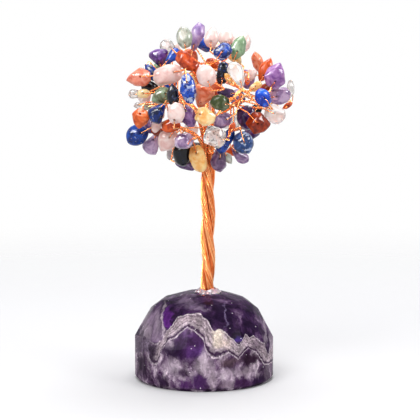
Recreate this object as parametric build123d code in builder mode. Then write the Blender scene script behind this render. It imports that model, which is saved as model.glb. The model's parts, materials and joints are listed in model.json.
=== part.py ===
"""Gemstone tree ornament: tumbled stone chips on copper wire, standing in a dome of banded amethyst.

Each chip is drilled through, and one wire runs through its hole and is twisted with itself into a twig.
The twigs gather into boughs, and the boughs into three thick strands whose twist is the trunk.
The trunk's foot is glued into a hole drilled in the dome. +Z is up, the viewer stands at -Y, and the
origin is the middle of the dome's underside. All lengths are in millimetres, all angles in degrees.
"""

from build123d import *
import os
from math import cos, radians, sin, sqrt
import numpy as np

# Dome: a round stone with a straight girdle and rings of flat facets up to a small flat top
base_diameter = 50.0
base_height = 31.0
base_edge = 1.4
# Each ring of facets runs from one radius and height to the next, as shares of the dome's radius and height
facet_line_shares = [(1.0, 0.47), (0.855, 0.695), (0.735, 0.835), (0.575, 0.93), (0.31, 0.995)]
facet_counts = [15, 13, 11, 9]
facet_start_deg = [4.0, 17.0, 8.0, 25.0]

# Trunk: three strands twisted together, standing in the socket and ending at the fork
trunk_offset = 1.4
socket_depth = 12.0
socket_gap = 0.2
trunk_rise = 50.0
strand_radius = 1.18
strand_gap = 0.16
strand_count = 3
strand_lay = 50.0
strand_start_deg = 205.0
strand_sections = 21
strand_sides = 8
glue_width = 2.4
glue_height = 1.6
glue_gap = 0.1
glue_sides = 14
glue_slope_deg = 40.0

# Chips: a middling chip's length sets the crown, because the chips are packed side by side round it
chip_length = 8.0
crown_reach_share = 3.8
chip_size_share = 1.06
crown_lift_share = 0.66
crown_tilt_share = 0.4
chip_depth_share = 0.62
hole_share = 0.24
mid_hole_share = 0.44

# Wire: loops through the chips, twisted pairs for twigs, and bundles for boughs
wire_thickness = 0.3
pair_share = 1.2
pair_sides = 4
hole_gap = 0.2
face_gap = 0.2
neck_gap = 1.3
bough_radius = 0.5
bough_sides = 6
bough_lift = 2.5
bough_rise_share = 0.6
bough_bend_shares = (0.0, 0.4, 0.72, 1.0)
seat_gap = 0.12
way_gap = 0.5
way_gap_shares = (1.0, 0.2)
way_points = 31
seats_per_run = 7
least_leaving_deg = 30.0
# A twig may bend once, at a place given by shares of the chip's length back along it, sideways and inwards
twig_bend_shares = [
    (0.0, 0.0, 0.0), (0.3, 0.0, 0.0), (0.6, 0.0, 0.0), (0.25, 0.0, 0.3), (0.5, 0.0, 0.6), (0.0, 0.0, 0.45),
    (0.0, 0.0, 0.9), (0.3, 0.4, 0.3), (0.3, -0.4, 0.3), (0.0, 0.5, 0.5), (0.0, -0.5, 0.5),
]

# Worked out from the sizes above
base_radius = base_diameter / 2
wire_half = wire_thickness / 2
pair_radius = wire_thickness * pair_share
hole_radius = wire_half + hole_gap
strand_ring = (strand_radius + strand_gap / 2) / sin(radians(180 / strand_count))
trunk_radius = strand_ring + strand_radius
socket_floor = base_height - socket_depth
fork_height = base_height + trunk_rise
crown_reach = chip_length * crown_reach_share
crown_middle = Vector(trunk_offset, 0, fork_height + crown_reach * crown_lift_share)

# Outlines of tumbled chips from the wired end (-1) to the tip (1), as shares of half the length and width
outline_shares = {
    "oval": [(-1, 0.25), (-0.45, 0.88), (0.45, 0.92), (1, 0.3), (0.85, -0.55), (0.1, -1), (-0.78, -0.68)],
    "drop": [(-1, 0.2), (-0.2, 0.72), (0.55, 1), (1, 0.4), (0.9, -0.55), (0.25, -0.96), (-0.9, -0.36)],
    "tear": [(-0.96, 0.45), (-0.45, 1), (0.35, 0.76), (1, 0.1), (0.5, -0.64), (-0.3, -1), (-1, -0.5)],
    "wedge": [(-1, 0.2), (0.3, 0.94), (0.86, 0.9), (1, 0.1), (0.8, -0.86), (0.3, -0.98), (-0.96, -0.28)],
    "block": [(-1, 0.5), (-0.6, 0.98), (0.75, 0.86), (1, 0.1), (0.8, -0.84), (-0.2, -1), (-0.94, -0.62)],
    "leaf": [(-1, 0.16), (-0.35, 0.92), (0.35, 0.86), (1, 0.08), (0.5, -0.8), (-0.25, -1), (-0.92, -0.3)],
    "bean": [(-1, 0.4), (-0.5, 1), (0.1, 0.66), (0.75, 0.94), (1, 0), (0.4, -0.9), (-0.7, -0.86)],
}
# A chip is the hull of its outline, whose points lie above and below the middle by turns, and of every other
# point, drawn in, at the two faces
rim_height_share = 0.17
face_height_share = 0.5
face_size_share = 0.6
face_lean_share = 0.06

# Chips that stand clear of their neighbours and can turn on their wires. Each row holds the stone, the place
# across, up and out towards the viewer, the length and the width, all as shares of the crown's reach, the last
# two enlarged alike by the size share, and then the heading from the wired end to the tip, the outline and the
# hole's place along the length.
loose_chip_shares = {
    "aventurine_leaf": ("aventurine", 0.35, 0.59, 0.36, 0.31, 0.18, 68, "leaf", 0.3),
    "lapis_square": ("lapis", 0.17, 0.55, 0.54, 0.21, 0.18, 52, "block", mid_hole_share),
    "rose_cone": ("rose_quartz", 0.045, 0.71, 0.28, 0.25, 0.18, 84, "tear", hole_share),
    "tall_amethyst": ("pale_amethyst", -0.13, 0.70, 0.12, 0.35, 0.17, 74, "drop", hole_share),
    "dark_amethyst_wedge": ("amethyst", -0.56, 0.47, 0.20, 0.20, 0.24, 104, "wedge", hole_share),
    "coral_tear": ("carnelian", -0.80, 0.24, 0.26, 0.29, 0.22, 187, "tear", 0.34),
    "jasper_tear": ("red_jasper", -0.77, -0.22, 0.46, 0.24, 0.21, 255, "tear", hole_share),
    "lapis_round": ("lapis", -0.82, -0.42, 0.22, 0.28, 0.26, 208, "oval", hole_share),
    "citrine_nugget": ("citrine", -0.11, -0.68, 0.42, 0.32, 0.19, -76, "block", hole_share),
    "smoky_drop": ("pale_amethyst", 0.13, -0.69, 0.25, 0.32, 0.21, -98, "drop", mid_hole_share),
    "lapis_ball": ("lapis", 0.405, -0.49, 0.50, 0.27, 0.25, -76, "oval", mid_hole_share),
    "jasper_heart": ("red_jasper", 0.56, -0.27, 0.54, 0.27, 0.24, -48, "bean", mid_hole_share),
    "clear_block": ("rose_quartz", 0.77, -0.17, 0.38, 0.24, 0.22, -24, "block", 0.36),
    "lapis_disc": ("lapis", 0.63, 0.02, 0.54, 0.24, 0.19, 132, "oval", 0.5),
    "large_amethyst": ("amethyst", 0.78, 0.27, 0.27, 0.30, 0.27, 66, "tear", hole_share),
}

# Chips that their neighbours hold still, by stone, in the same order of shares and without the stone
packed_chip_shares = {
    "prehnite": [
        (-0.27, 0.70, 0.30, 0.25, 0.19, 98, "oval", hole_share),
        (-0.70, -0.09, 0.26, 0.11, 0.09, 190, "oval", mid_hole_share),
        (0.24, -0.71, 0.04, 0.15, 0.10, -62, "tear", hole_share),
    ],
    "clear_quartz": [
        (-0.47, 0.60, 0.02, 0.18, 0.15, 148, "block", hole_share),
        (-0.85, 0.05, 0.14, 0.13, 0.11, 178, "block", mid_hole_share),
        (-0.81, -0.08, 0.10, 0.10, 0.08, 195, "oval", mid_hole_share),
        (0.33, 0.29, 0.68, 0.30, 0.18, 112, "drop", hole_share),
        (0.97, 0.10, -0.10, 0.21, 0.13, 60, "oval", hole_share),
        (0.075, -0.41, 0.64, 0.25, 0.23, 165, "block", hole_share),
        (-0.42, -0.64, 0.06, 0.19, 0.13, -120, "oval", hole_share),
    ],
    "sodalite": [
        (-0.65, 0.29, 0.06, 0.26, 0.14, 128, "leaf", hole_share),
        (-0.68, 0.13, 0.04, 0.20, 0.14, 160, "block", hole_share),
        (-0.39, 0.05, 0.64, 0.28, 0.15, 96, "leaf", hole_share),
        (0.17, 0.30, 0.38, 0.25, 0.14, 84, "block", hole_share),
        (-0.29, -0.63, 0.32, 0.28, 0.21, -92, "block", hole_share),
    ],
    "lapis": [
        (-0.41, 0.48, 0.33, 0.22, 0.14, 44, "wedge", hole_share),
        (-0.22, 0.14, 0.78, 0.34, 0.18, -82, "oval", 0.3),
        (-0.57, -0.14, 0.60, 0.23, 0.20, -128, "wedge", hole_share),
        (0.20, -0.48, 0.43, 0.30, 0.15, -118, "block", mid_hole_share),
    ],
    "red_jasper": [
        (-0.24, 0.43, 0.61, 0.32, 0.17, -42, "bean", hole_share),
        (0.67, 0.33, 0.05, 0.30, 0.16, 62, "leaf", hole_share),
        (0.455, 0.20, 0.34, 0.10, 0.06, 262, "leaf", mid_hole_share),
        (0.93, -0.09, 0.02, 0.14, 0.07, 30, "leaf", mid_hole_share),
        (0.275, -0.31, 0.64, 0.13, 0.07, 70, "oval", mid_hole_share),
        (-0.42, -0.29, 0.53, 0.21, 0.16, 200, "block", hole_share),
        (-0.58, -0.38, 0.25, 0.15, 0.11, 170, "oval", hole_share),
    ],
    "carnelian": [
        (0.09, 0.13, 0.33, 0.19, 0.15, 118, "oval", hole_share),
        (-0.06, 0.04, 0.56, 0.26, 0.24, 70, "wedge", hole_share),
    ],
    "rose_quartz": [
        (-0.46, 0.28, 0.47, 0.33, 0.22, 196, "block", hole_share),
        (-0.015, 0.28, 0.74, 0.26, 0.22, 108, "oval", hole_share),
        (0.21, 0.69, 0.04, 0.20, 0.18, 80, "oval", hole_share),
        (0.385, 0.63, 0.12, 0.25, 0.22, 48, "oval", hole_share),
        (0.49, 0.27, 0.13, 0.18, 0.13, 30, "oval", hole_share),
        (-0.355, -0.14, 0.76, 0.25, 0.21, 80, "oval", hole_share),
        (-0.58, -0.29, 0.42, 0.18, 0.12, -118, "oval", hole_share),
        (-0.47, -0.48, 0.38, 0.28, 0.24, -126, "tear", hole_share),
    ],
    "aventurine": [
        (-0.53, 0.04, 0.48, 0.25, 0.20, 205, "tear", hole_share),
        (0.14, -0.02, 0.72, 0.23, 0.18, 168, "oval", hole_share),
    ],
    "citrine": [
        (-0.74, 0.06, 0.29, 0.15, 0.11, 186, "block", mid_hole_share),
        (0.23, 0.25, 0.56, 0.14, 0.08, 128, "leaf", mid_hole_share),
        (0.545, 0.145, 0.34, 0.16, 0.09, 34, "block", mid_hole_share),
        (-0.035, -0.18, 0.77, 0.23, 0.20, -36, "bean", hole_share),
    ],
    "pale_amethyst": [
        (0.84, 0.03, 0.14, 0.23, 0.20, 8, "block", hole_share),
        (0.17, -0.23, 0.56, 0.22, 0.17, 205, "oval", 0.34),
        (0.37, -0.66, 0.20, 0.24, 0.15, -48, "drop", hole_share),
        (-0.26, -0.77, 0.18, 0.25, 0.12, -16, "block", hole_share),
        (-0.65, -0.53, 0.12, 0.24, 0.20, -118, "wedge", hole_share),
        (-0.27, -0.46, 0.58, 0.22, 0.19, 195, "oval", hole_share),
    ],
    "amethyst": [
        (0.21, 0.08, 0.52, 0.20, 0.12, 174, "oval", hole_share),
        (0.45, -0.22, 0.31, 0.27, 0.22, -66, "block", hole_share),
        (-0.22, -0.18, 0.64, 0.26, 0.18, 290, "oval", hole_share),
    ],
}

# The far side of the crown repeats the same stones on a golden spiral, a turn of this angle for each chip
spiral_count = 32
spiral_start_deg = 104.0
spiral_turn_deg = 137.508
spiral_heading_deg = 15.0
spiral_reach_shares = (0.86, 0.74, 0.72)
spiral_start_share = 0.2
spiral_length_shares = (0.28, 0.24, 0.26, 0.22, 0.27)
spiral_width_shares = (0.20, 0.21, 0.17, 0.19)
spiral_outlines = ("oval", "tear", "block", "leaf", "wedge", "drop", "bean")
spiral_stones = (
    "rose_quartz", "amethyst", "lapis", "clear_quartz", "red_jasper", "aventurine", "pale_amethyst",
    "citrine", "rose_quartz", "sodalite", "carnelian",
)

# Tips of the boughs across, up and out, as shares of the crown's reach, in threes for the strands they leave
bough_tip_shares = {
    "front_left": [
        ("left_front_bough", -0.42, 0.10, 0.30),
        ("left_low_bough", -0.44, -0.30, 0.16),
        ("left_top_bough", -0.20, 0.44, 0.22),
    ],
    "front_right": [
        ("right_front_bough", 0.38, 0.00, 0.36),
        ("right_low_bough", 0.40, -0.34, 0.14),
        ("right_top_bough", 0.18, 0.44, 0.14),
    ],
    "rear": [
        ("rear_right_bough", 0.40, 0.08, -0.32),
        ("rear_left_bough", -0.40, 0.08, -0.34),
        ("rear_top_bough", 0.00, 0.38, -0.26),
    ],
}


def crown_point(across, up, out):
    """A place in the crown from its shares of the crown's reach."""
    return crown_middle + Vector(across, -out, up) * crown_reach


class Chip:
    """One chip's place, frame and size, and the points where its wire passes and is knotted."""

    def __init__(self, stone, across, up, out, length, width, heading, outline, hole):
        self.stone = stone
        self.outline = outline
        self.length = length * crown_reach * chip_size_share
        self.width = width * crown_reach * chip_size_share
        self.depth = self.width * chip_depth_share
        if out > 0:
            facing = (Vector(across, 0, up) * crown_tilt_share + Vector(0, -1, 0)).normalized()
        else:
            facing = Vector(across, -out, up).normalized()
        towards = Vector(cos(radians(heading)), 0, sin(radians(heading)))
        along = (towards - facing * towards.dot(facing)).normalized()
        self.frame = Plane(origin=crown_point(across, up, out), x_dir=along, z_dir=facing)
        self.hole_at = -self.length / 2 + hole * self.length
        self.shoulder_at = -self.length / 2 * face_size_share
        self.neck_at = -self.length / 2 - neck_gap
        self.half_loop = self.depth / 2 + face_gap + wire_half
        self.knot = self.frame.from_local_coords(Vector(self.neck_at, 0, 0))


def far_side_chips():
    """Rows of shares for the chips that the viewer doesn't see, on a golden spiral round the back."""
    rows = []
    for step in range(spiral_count):
        out = -spiral_start_share - (1 - spiral_start_share) * (step + 0.5) / spiral_count
        ring = sqrt(1 - out * out)
        turn = radians(spiral_start_deg + spiral_turn_deg * step)
        across = spiral_reach_shares[0] * ring * cos(turn)
        depth = spiral_reach_shares[1] * out
        up = spiral_reach_shares[2] * ring * sin(turn)
        length = spiral_length_shares[step % len(spiral_length_shares)]
        width = spiral_width_shares[step % len(spiral_width_shares)]
        heading = np.degrees(np.arctan2(up, across)) + spiral_heading_deg * (step % len(spiral_outlines))
        outline = spiral_outlines[step % len(spiral_outlines)]
        stone = spiral_stones[step % len(spiral_stones)]
        rows.append((stone, across, up, depth, length, width, heading, outline, hole_share))
    return rows


class Bough:
    """One bough's bent centre line, from its seat on a strand to its tip."""

    def __init__(self, name, root, tip):
        self.name = name
        start = root + Vector(0, 0, bough_lift)
        bend = start + Vector(0, 0, (tip.Z - start.Z) * bough_rise_share)
        self.points = [root]
        for share in bough_bend_shares:
            self.points.append(start * (1 - share) ** 2 + bend * (2 * share * (1 - share)) + tip * share**2)

    def seats(self):
        """Places along the leaning runs, and the bough's direction at each."""
        shares = (np.arange(seats_per_run) + 0.5) / seats_per_run
        corners = np.array([as_row(point) for point in self.points[1:]])
        places = np.vstack([low + np.outer(shares, high - low) for low, high in zip(corners[:-1], corners[1:])])
        ways = np.repeat(np.diff(corners, axis=0), seats_per_run, axis=0)
        return places, ways / np.linalg.norm(ways, axis=1, keepdims=True)

    def line(self):
        """Points close together along the centre line."""
        corners = [as_row(point) for point in self.points]
        return np.vstack([np.linspace(*run, way_points) for run in zip(corners[:-1], corners[1:])])


def strand_centre(strand, height):
    """Where a strand's middle lies at a height, on its left-handed twist round the trunk."""
    turn = radians(strand_start_deg + 360 * strand / strand_count - 360 * (height - fork_height) / strand_lay)
    return Vector(trunk_offset + strand_ring * cos(turn), strand_ring * sin(turn), height)


def all_boughs():
    """The boughs, three standing on each strand's end in a ring, each leaning away on its own side."""
    boughs = []
    seat_ring = strand_radius - bough_radius - strand_gap / 2
    for strand, rows in enumerate(bough_tip_shares.values()):
        middle = strand_centre(strand, fork_height)
        for place, (name, across, up, out) in enumerate(rows):
            turn = radians(strand_start_deg + 360 * strand / strand_count + 360 * (place - 1) / len(rows))
            seat = middle + Vector(cos(turn), sin(turn), 0) * seat_ring
            boughs.append(Bough(name, seat, crown_point(across, up, out)))
    return boughs


class Twig:
    """A twisted pair of wire from its bough, by way of a bend or straight, to the knot behind its chip."""

    def __init__(self, bough, chip, corners, line):
        self.bough = bough
        self.chip = chip
        self.corners = corners
        self.line = line


def as_row(vector):
    return np.array([vector.X, vector.Y, vector.Z])


class Crown:
    """The chips and boughs as arrays, and the twigs laid between them so far."""

    def __init__(self, chips, boughs):
        self.chips = chips
        self.boughs = boughs
        self.twigs = []
        self.middles = np.array([as_row(chip.frame.origin) for chip in chips])
        self.axes = np.array(
            [[as_row(way) for way in (chip.frame.x_dir, chip.frame.y_dir, chip.frame.z_dir)] for chip in chips]
        )
        self.halves = np.array([[chip.length / 2, chip.width / 2, chip.half_loop] for chip in chips])
        self.lines = [bough.line() for bough in boughs]
        self.seats = np.vstack([bough.seats()[0] for bough in boughs])
        self.seat_ways = np.vstack([bough.seats()[1] for bough in boughs])
        self.seat_boughs = [bough for bough in boughs for seat in bough.seats()[0]]

    def clear_of_chips(self, line, own, gap):
        """Whether a line of points stays outside an ellipsoid round each chip, grown by a gap but for its own."""
        grown = self.halves + pair_radius + gap
        grown[own] -= gap
        away = line[:, None, :] - self.middles
        local = np.einsum("pcx,cax->pca", away, self.axes) / grown
        return (local**2).sum(axis=2).min() > 1

    def clear_of_wires(self, line, bough):
        """Whether a line of points stays clear of the other boughs and of the twigs laid before it."""
        others = [wire for owner, wire in zip(self.boughs, self.lines) if owner is not bough]
        if least_distance(line, np.vstack(others)) < bough_radius + pair_radius + seat_gap:
            return False
        laid = [twig.line for twig in self.twigs]
        return not laid or least_distance(line, np.vstack(laid)) > 2 * pair_radius + seat_gap

    def lay_twig(self, own):
        """Lay the first clear twig to a chip: straight before bent, with a wide gap before a narrow one."""
        for share in way_gap_shares:
            for bend in twig_bend_shares:
                twig = self.shortest_twig(own, bend, way_gap * share)
                if twig:
                    self.twigs.append(twig)
                    return True
        return False

    def shortest_twig(self, own, bend, gap):
        """The shortest clear twig to a chip by way of one bend, or nothing."""
        chip = self.chips[own]
        knot = as_row(chip.knot)
        back, side, inward = bend
        turn = knot + chip.length * (np.array([-back, side, -inward]) @ self.axes[own])
        away = turn - self.seats
        reach = np.linalg.norm(away, axis=1)
        away = away / reach[:, None]
        lean = np.linalg.norm(np.cross(away, self.seat_ways), axis=1)
        for place in np.argsort(reach):
            if lean[place] < sin(radians(least_leaving_deg)):
                continue
            off = (bough_radius + seat_gap + pair_radius * sqrt(1 - lean[place] ** 2)) / lean[place]
            root = self.seats[place] + away[place] * off
            corners = [root, turn, knot] if any(bend) else [root, knot]
            line = np.vstack([np.linspace(*run, way_points) for run in zip(corners[:-1], corners[1:])])
            bough = self.seat_boughs[place]
            if self.clear_of_chips(line, own, gap) and self.clear_of_wires(line, bough):
                return Twig(bough, chip, corners, line)
        return None


def least_distance(line, others):
    """The least distance between two lines of points."""
    return np.sqrt(((line[:, None, :] - others[None, :, :]) ** 2).sum(axis=2)).min()


def chip_part(chip):
    """A tumbled chip: a pebble of flat faces with its drilled hole."""
    outline = [Vector(x * chip.length / 2, y * chip.width / 2) for x, y in outline_shares[chip.outline]]
    rim = Vector(0, 0, chip.depth * rim_height_share)
    face = Vector(chip.length * face_lean_share, 0, chip.depth * face_height_share)
    corners = [point - rim for point in outline[0::2]] + [point + rim for point in outline[1::2]]
    corners += [point * face_size_share + face for point in outline[0::2]]
    corners += [point * face_size_share - face for point in outline[1::2]]
    with BuildPart(chip.frame) as pebble:
        ConvexPolyhedron(corners)
        with BuildSketch(chip.frame):
            with Locations((chip.hole_at, 0)):
                Rectangle(2 * hole_radius, 2 * hole_radius)
        extrude(amount=chip.depth, both=True, mode=Mode.SUBTRACT)
    return pebble.part


def twig_part(twig):
    """A twisted pair as one rod, with the loop of wire through the chip's hole at its end."""
    chip = twig.chip
    loop_plane = Plane(origin=chip.frame.origin, x_dir=chip.frame.x_dir, z_dir=-chip.frame.y_dir)
    side = wire_half + seat_gap / 4
    corner = chip.half_loop + face_gap
    over = [(chip.neck_at, side), (chip.hole_at, corner)]
    if chip.hole_at > chip.shoulder_at + wire_thickness:
        over.insert(1, (chip.shoulder_at - wire_thickness, corner))
    under = [(along, -up) for along, up in reversed(over)]
    with BuildPart() as wire:
        with BuildLine() as rod:
            Polyline(*[Vector(*corner) for corner in twig.corners])
        with BuildSketch(Plane(origin=rod.line @ 0, z_dir=rod.line % 0)):
            RegularPolygon(pair_radius, pair_sides)
        sweep(path=rod.line, transition=Transition.RIGHT)
        with BuildLine(loop_plane) as loop:
            Polyline(*over, *under)
        with BuildSketch(Plane(origin=loop.line @ 0, x_dir=chip.frame.y_dir, z_dir=loop.line % 0)):
            Rectangle(wire_thickness, wire_thickness)
        sweep(path=loop.line, transition=Transition.RIGHT)
    return wire.part


def write(part, name):
    part.label = name
    export_step(part, f"parts/{name}.step")


def write_group(parts, name):
    write(Compound(children=parts), name)


os.makedirs("parts", exist_ok=True)

# The dome, cut to facets from a round blank, with the socket for the trunk
with BuildPart() as base:
    with BuildSketch():
        Circle(base_radius)
    extrude(amount=base_height)
    chamfer(base.edges().group_by(Axis.Z)[0], base_edge)
    rings = zip(facet_line_shares[:-1], facet_line_shares[1:], facet_counts, facet_start_deg)
    for (low_out, low_up), (high_out, high_up), count, start in rings:
        low = Vector(low_out * base_radius, low_up * base_height)
        high = Vector(high_out * base_radius, high_up * base_height)
        slope = (high - low).normalized()
        for facet in range(count):
            turn = radians(start + 360 * facet / count)
            outward = Vector(slope.Y * cos(turn), slope.Y * sin(turn), -slope.X)
            middle = Vector(low.X * cos(turn), low.X * sin(turn), low.Y)
            split(bisect_by=Plane(origin=middle, z_dir=outward), keep=Keep.BOTTOM)
    with Locations((trunk_offset, 0, base_height)):
        Hole(trunk_radius + socket_gap, socket_depth)
write(base.part, "amethyst_base")

# The bead of clear glue round the trunk's foot
with BuildPart() as glue:
    with BuildSketch(Plane((trunk_offset, 0, base_height))):
        RegularPolygon(trunk_radius + glue_gap + glue_width, glue_sides)
    extrude(amount=glue_height, taper=glue_slope_deg)
    with Locations((trunk_offset, 0, base_height + glue_height)):
        Hole(trunk_radius + glue_gap, glue_height)
write(glue.part, "glue_bead")

# The trunk's strands, lofted through circles that turn with the twist
strand_names = [f"trunk_strand_{side}" for side in bough_tip_shares]
for number, name in enumerate(strand_names):
    with BuildPart() as strand:
        for section in range(strand_sections):
            height = socket_floor + (fork_height - socket_floor) * section / (strand_sections - 1)
            with BuildSketch(Plane(origin=strand_centre(number, height))):
                RegularPolygon(strand_radius, strand_sides)
        loft(ruled=True)
    write(strand.part, name)

# The boughs, each a bundle of wire that rises from the fork and leans out
boughs = all_boughs()
for bough in boughs:
    with BuildPart() as bundle:
        with BuildLine() as path:
            Polyline(*bough.points)
        with BuildSketch(Plane(origin=bough.points[0])):
            RegularPolygon(bough_radius, bough_sides)
        sweep(path=path.line, transition=Transition.RIGHT)
    write(bundle.part, bough.name)

# The chips, and the twigs that carry them
loose = {name: Chip(*row) for name, row in loose_chip_shares.items()}
packed = [Chip(stone, *row) for stone, rows in packed_chip_shares.items() for row in rows]
packed += [Chip(*row) for row in far_side_chips()]
chips = [*loose.values(), *packed]
crown = Crown(chips, boughs)
inner_first = sorted(range(len(chips)), key=lambda number: (chips[number].frame.origin - crown_middle).length)
for number in inner_first:
    if not crown.lay_twig(number):
        print("no clear way for chip", number, chips[number].stone, chips[number].frame.origin)
for bough in boughs:
    twigs = [twig_part(twig) for twig in crown.twigs if twig.bough is bough]
    write_group(twigs, bough.name.replace("bough", "twigs"))
for name, chip in loose.items():
    write(chip_part(chip), name)
for stone in packed_chip_shares:
    write_group([chip_part(chip) for chip in packed if chip.stone == stone], f"{stone}_chips")
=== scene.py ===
"""Gemstone tree ornament: the looks of its stones and copper wire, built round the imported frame.

The dome, the chips and the wires are read from the frame's own solids. The dome is softened along its cut
edges, each chip is tumbled to a pebble with a drilled hole, and every rod of the frame is wound again from
the thin copper wires that it stands for. Lengths are in metres unless a name ends in _mm.
"""

import json
import logging
import math
from dataclasses import dataclass, field, replace
from enum import Enum
from typing import Any, Callable, Iterable, Mapping, Sequence

import bmesh
import bpy
import numpy as np
from mathutils import Matrix, Vector, noise
from mathutils.bvhtree import BVHTree


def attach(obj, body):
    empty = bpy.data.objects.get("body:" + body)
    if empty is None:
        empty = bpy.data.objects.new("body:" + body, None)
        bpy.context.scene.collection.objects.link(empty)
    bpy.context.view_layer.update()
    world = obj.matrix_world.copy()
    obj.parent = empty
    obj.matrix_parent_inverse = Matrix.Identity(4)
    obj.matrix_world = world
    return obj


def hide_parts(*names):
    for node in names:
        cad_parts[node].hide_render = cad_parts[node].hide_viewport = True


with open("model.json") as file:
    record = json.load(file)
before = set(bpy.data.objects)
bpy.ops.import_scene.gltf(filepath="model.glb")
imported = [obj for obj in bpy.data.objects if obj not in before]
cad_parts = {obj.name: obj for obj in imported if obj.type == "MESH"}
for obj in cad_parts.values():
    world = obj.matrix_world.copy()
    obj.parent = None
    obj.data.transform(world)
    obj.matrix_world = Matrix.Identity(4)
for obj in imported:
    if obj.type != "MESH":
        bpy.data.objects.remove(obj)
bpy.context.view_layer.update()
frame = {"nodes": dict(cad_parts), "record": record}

log = logging.getLogger("gemstone_tree")
MM = 0.001
QUARTZ_IOR = 1.54

# How the frame's meshes are read: what counts as one point, one flat, one direction and one line of edges
SAME_POINT_MM = 0.002
SAME_FLAT_DEG = 0.6
SAME_WAY_COSINE = 0.9995
SAME_LINE_MM = 0.05
LEAST_EDGES = 3
LEVEL_MM = 0.2

Tree = bpy.types.NodeTree
Socket = bpy.types.NodeSocket
Island = list[bmesh.types.BMVert]


class Stone(Enum):
    """The stones of the crown, by the names of their material slots."""

    AMETHYST = "amethyst"
    PALE_AMETHYST = "pale_amethyst"
    ROSE_QUARTZ = "rose_quartz"
    CLEAR_QUARTZ = "clear_quartz"
    LAPIS = "lapis"
    SODALITE = "sodalite"
    RED_JASPER = "red_jasper"
    CARNELIAN = "carnelian"
    AVENTURINE = "aventurine"
    CITRINE = "citrine"
    PREHNITE = "prehnite"


def linear(code: str) -> tuple[float, float, float, float]:
    """Turn an sRGB hex colour into a linear one.

    Args:
        code: six hex digits with a leading hash sign.

    Returns:
        Linear red, green, blue and an alpha of one.
    """
    shares = [int(code[place:place + 2], 16) / 255 for place in (1, 3, 5)]
    red, green, blue = [x / 12.92 if x <= 0.04045 else ((x + 0.055) / 1.055) ** 2.4 for x in shares]
    return red, green, blue, 1.0


def feed(tree: Tree, node: bpy.types.Node, inputs: Mapping[Any, Any]) -> None:
    """Set a node's constant inputs and link the others.

    Args:
        tree: the node tree that it is in.
        node: the node.
        inputs: input names or numbers, each with a constant or with the socket that feeds it.
    """
    for name, value in inputs.items():
        if isinstance(value, Socket):
            tree.links.new(value, node.inputs[name])
        else:
            node.inputs[name].default_value = value


def add_node(tree: Tree, kind: str, inputs: Mapping[Any, Any] | None = None, **settings: Any) -> bpy.types.Node:
    """Add one node with its settings, its constant inputs and its links.

    Args:
        tree: the node tree that it goes into.
        kind: the node's type name without the ShaderNode in front.
        inputs: input names or numbers, each with a constant or with the socket that feeds it.
        settings: attributes of the node itself.

    Returns:
        The new node.
    """
    node = tree.nodes.new("ShaderNode" + kind)
    for name, value in settings.items():
        setattr(node, name, value)
    feed(tree, node, inputs or {})
    return node


def set_ramp(node: bpy.types.Node, stops: Sequence[tuple[float, str]]) -> bpy.types.Node:
    """Give a colour ramp its stops.

    Args:
        node: a colour ramp node.
        stops: places from 0 to 1 with their hex colours, in order.

    Returns:
        The same node.
    """
    elements = node.color_ramp.elements
    while len(elements) < len(stops):
        elements.new(1.0)
    for element, (place, code) in zip(elements, stops):
        element.position = place
        element.color = linear(code)
    return node


def new_material(name: str) -> tuple[bpy.types.Material, Tree, bpy.types.Node]:
    """Start a node material with a Principled shader.

    Args:
        name: the real material's name.

    Returns:
        The material, its tree and its shader node.
    """
    material = bpy.data.materials.new(name)
    material.use_nodes = True
    tree = material.node_tree
    tree.nodes.clear()
    shader = add_node(tree, "BsdfPrincipled")
    add_node(tree, "OutputMaterial", {"Surface": shader.outputs[0]})
    return material, tree, shader


def kept_mesh(work: bmesh.types.BMesh, name: str) -> bpy.types.Mesh:
    """Turn a bmesh into a mesh and free it.

    Args:
        work: the bmesh, which is used up.
        name: the mesh's name.

    Returns:
        The mesh.
    """
    mesh = bpy.data.meshes.new(name)
    work.to_mesh(mesh)
    work.free()
    return mesh


def new_piece(name: str, mesh: bpy.types.Mesh, material: bpy.types.Material) -> bpy.types.Object:
    """Put a finished mesh into the scene with its material, shaded smooth.

    Args:
        name: the piece's name.
        mesh: its mesh, with its place in its vertices.
        material: the finish that it gets.

    Returns:
        The new object.
    """
    mesh.name = name
    mesh.materials.clear()
    mesh.materials.append(material)
    mesh.shade_smooth()
    piece = bpy.data.objects.new(name, mesh)
    bpy.context.scene.collection.objects.link(piece)
    return piece


def settle(piece: bpy.types.Object, body: str, slot: str, *nodes: str) -> None:
    """Put a piece on the body that it moves with and hide the frame's nodes that it stands for.

    Args:
        piece: the finished piece.
        body: the body that it moves with.
        slot: the record's material slot; not used.
        nodes: the frame's nodes that it replaces.
    """
    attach(piece, body)
    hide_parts(*nodes)
    log.info("%s rides on %s with %d faces", piece.name, body, len(piece.data.polygons))


def seed_of(name: str) -> int:
    """A seed from a piece's name, the same on every run."""
    return sum(name.encode())


def merged_copy(node: str) -> bmesh.types.BMesh:
    """A node's solid as a closed mesh with one face for each flat of the solid.

    Args:
        node: the name of a node of the frame.

    Returns:
        A new bmesh.
    """
    mesh = bmesh.new()
    mesh.from_mesh(frame["nodes"][node].data)
    bmesh.ops.remove_doubles(mesh, verts=mesh.verts, dist=SAME_POINT_MM * MM)
    bmesh.ops.dissolve_limit(mesh, angle_limit=math.radians(SAME_FLAT_DEG), verts=mesh.verts, edges=mesh.edges)
    return mesh


def islands(mesh: bmesh.types.BMesh) -> list[Island]:
    """The separate solids of a mesh.

    Args:
        mesh: the mesh.

    Returns:
        The vertices of each solid.
    """
    found: list[Island] = []
    seen: set[bmesh.types.BMVert] = set()
    for first in mesh.verts:
        if first in seen:
            continue
        seen.add(first)
        group, fringe = [first], [first]
        while fringe:
            vertex = fringe.pop()
            for link in vertex.link_edges:
                other = link.other_vert(vertex)
                if other not in seen:
                    seen.add(other)
                    group.append(other)
                    fringe.append(other)
        found.append(group)
    return found


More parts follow.
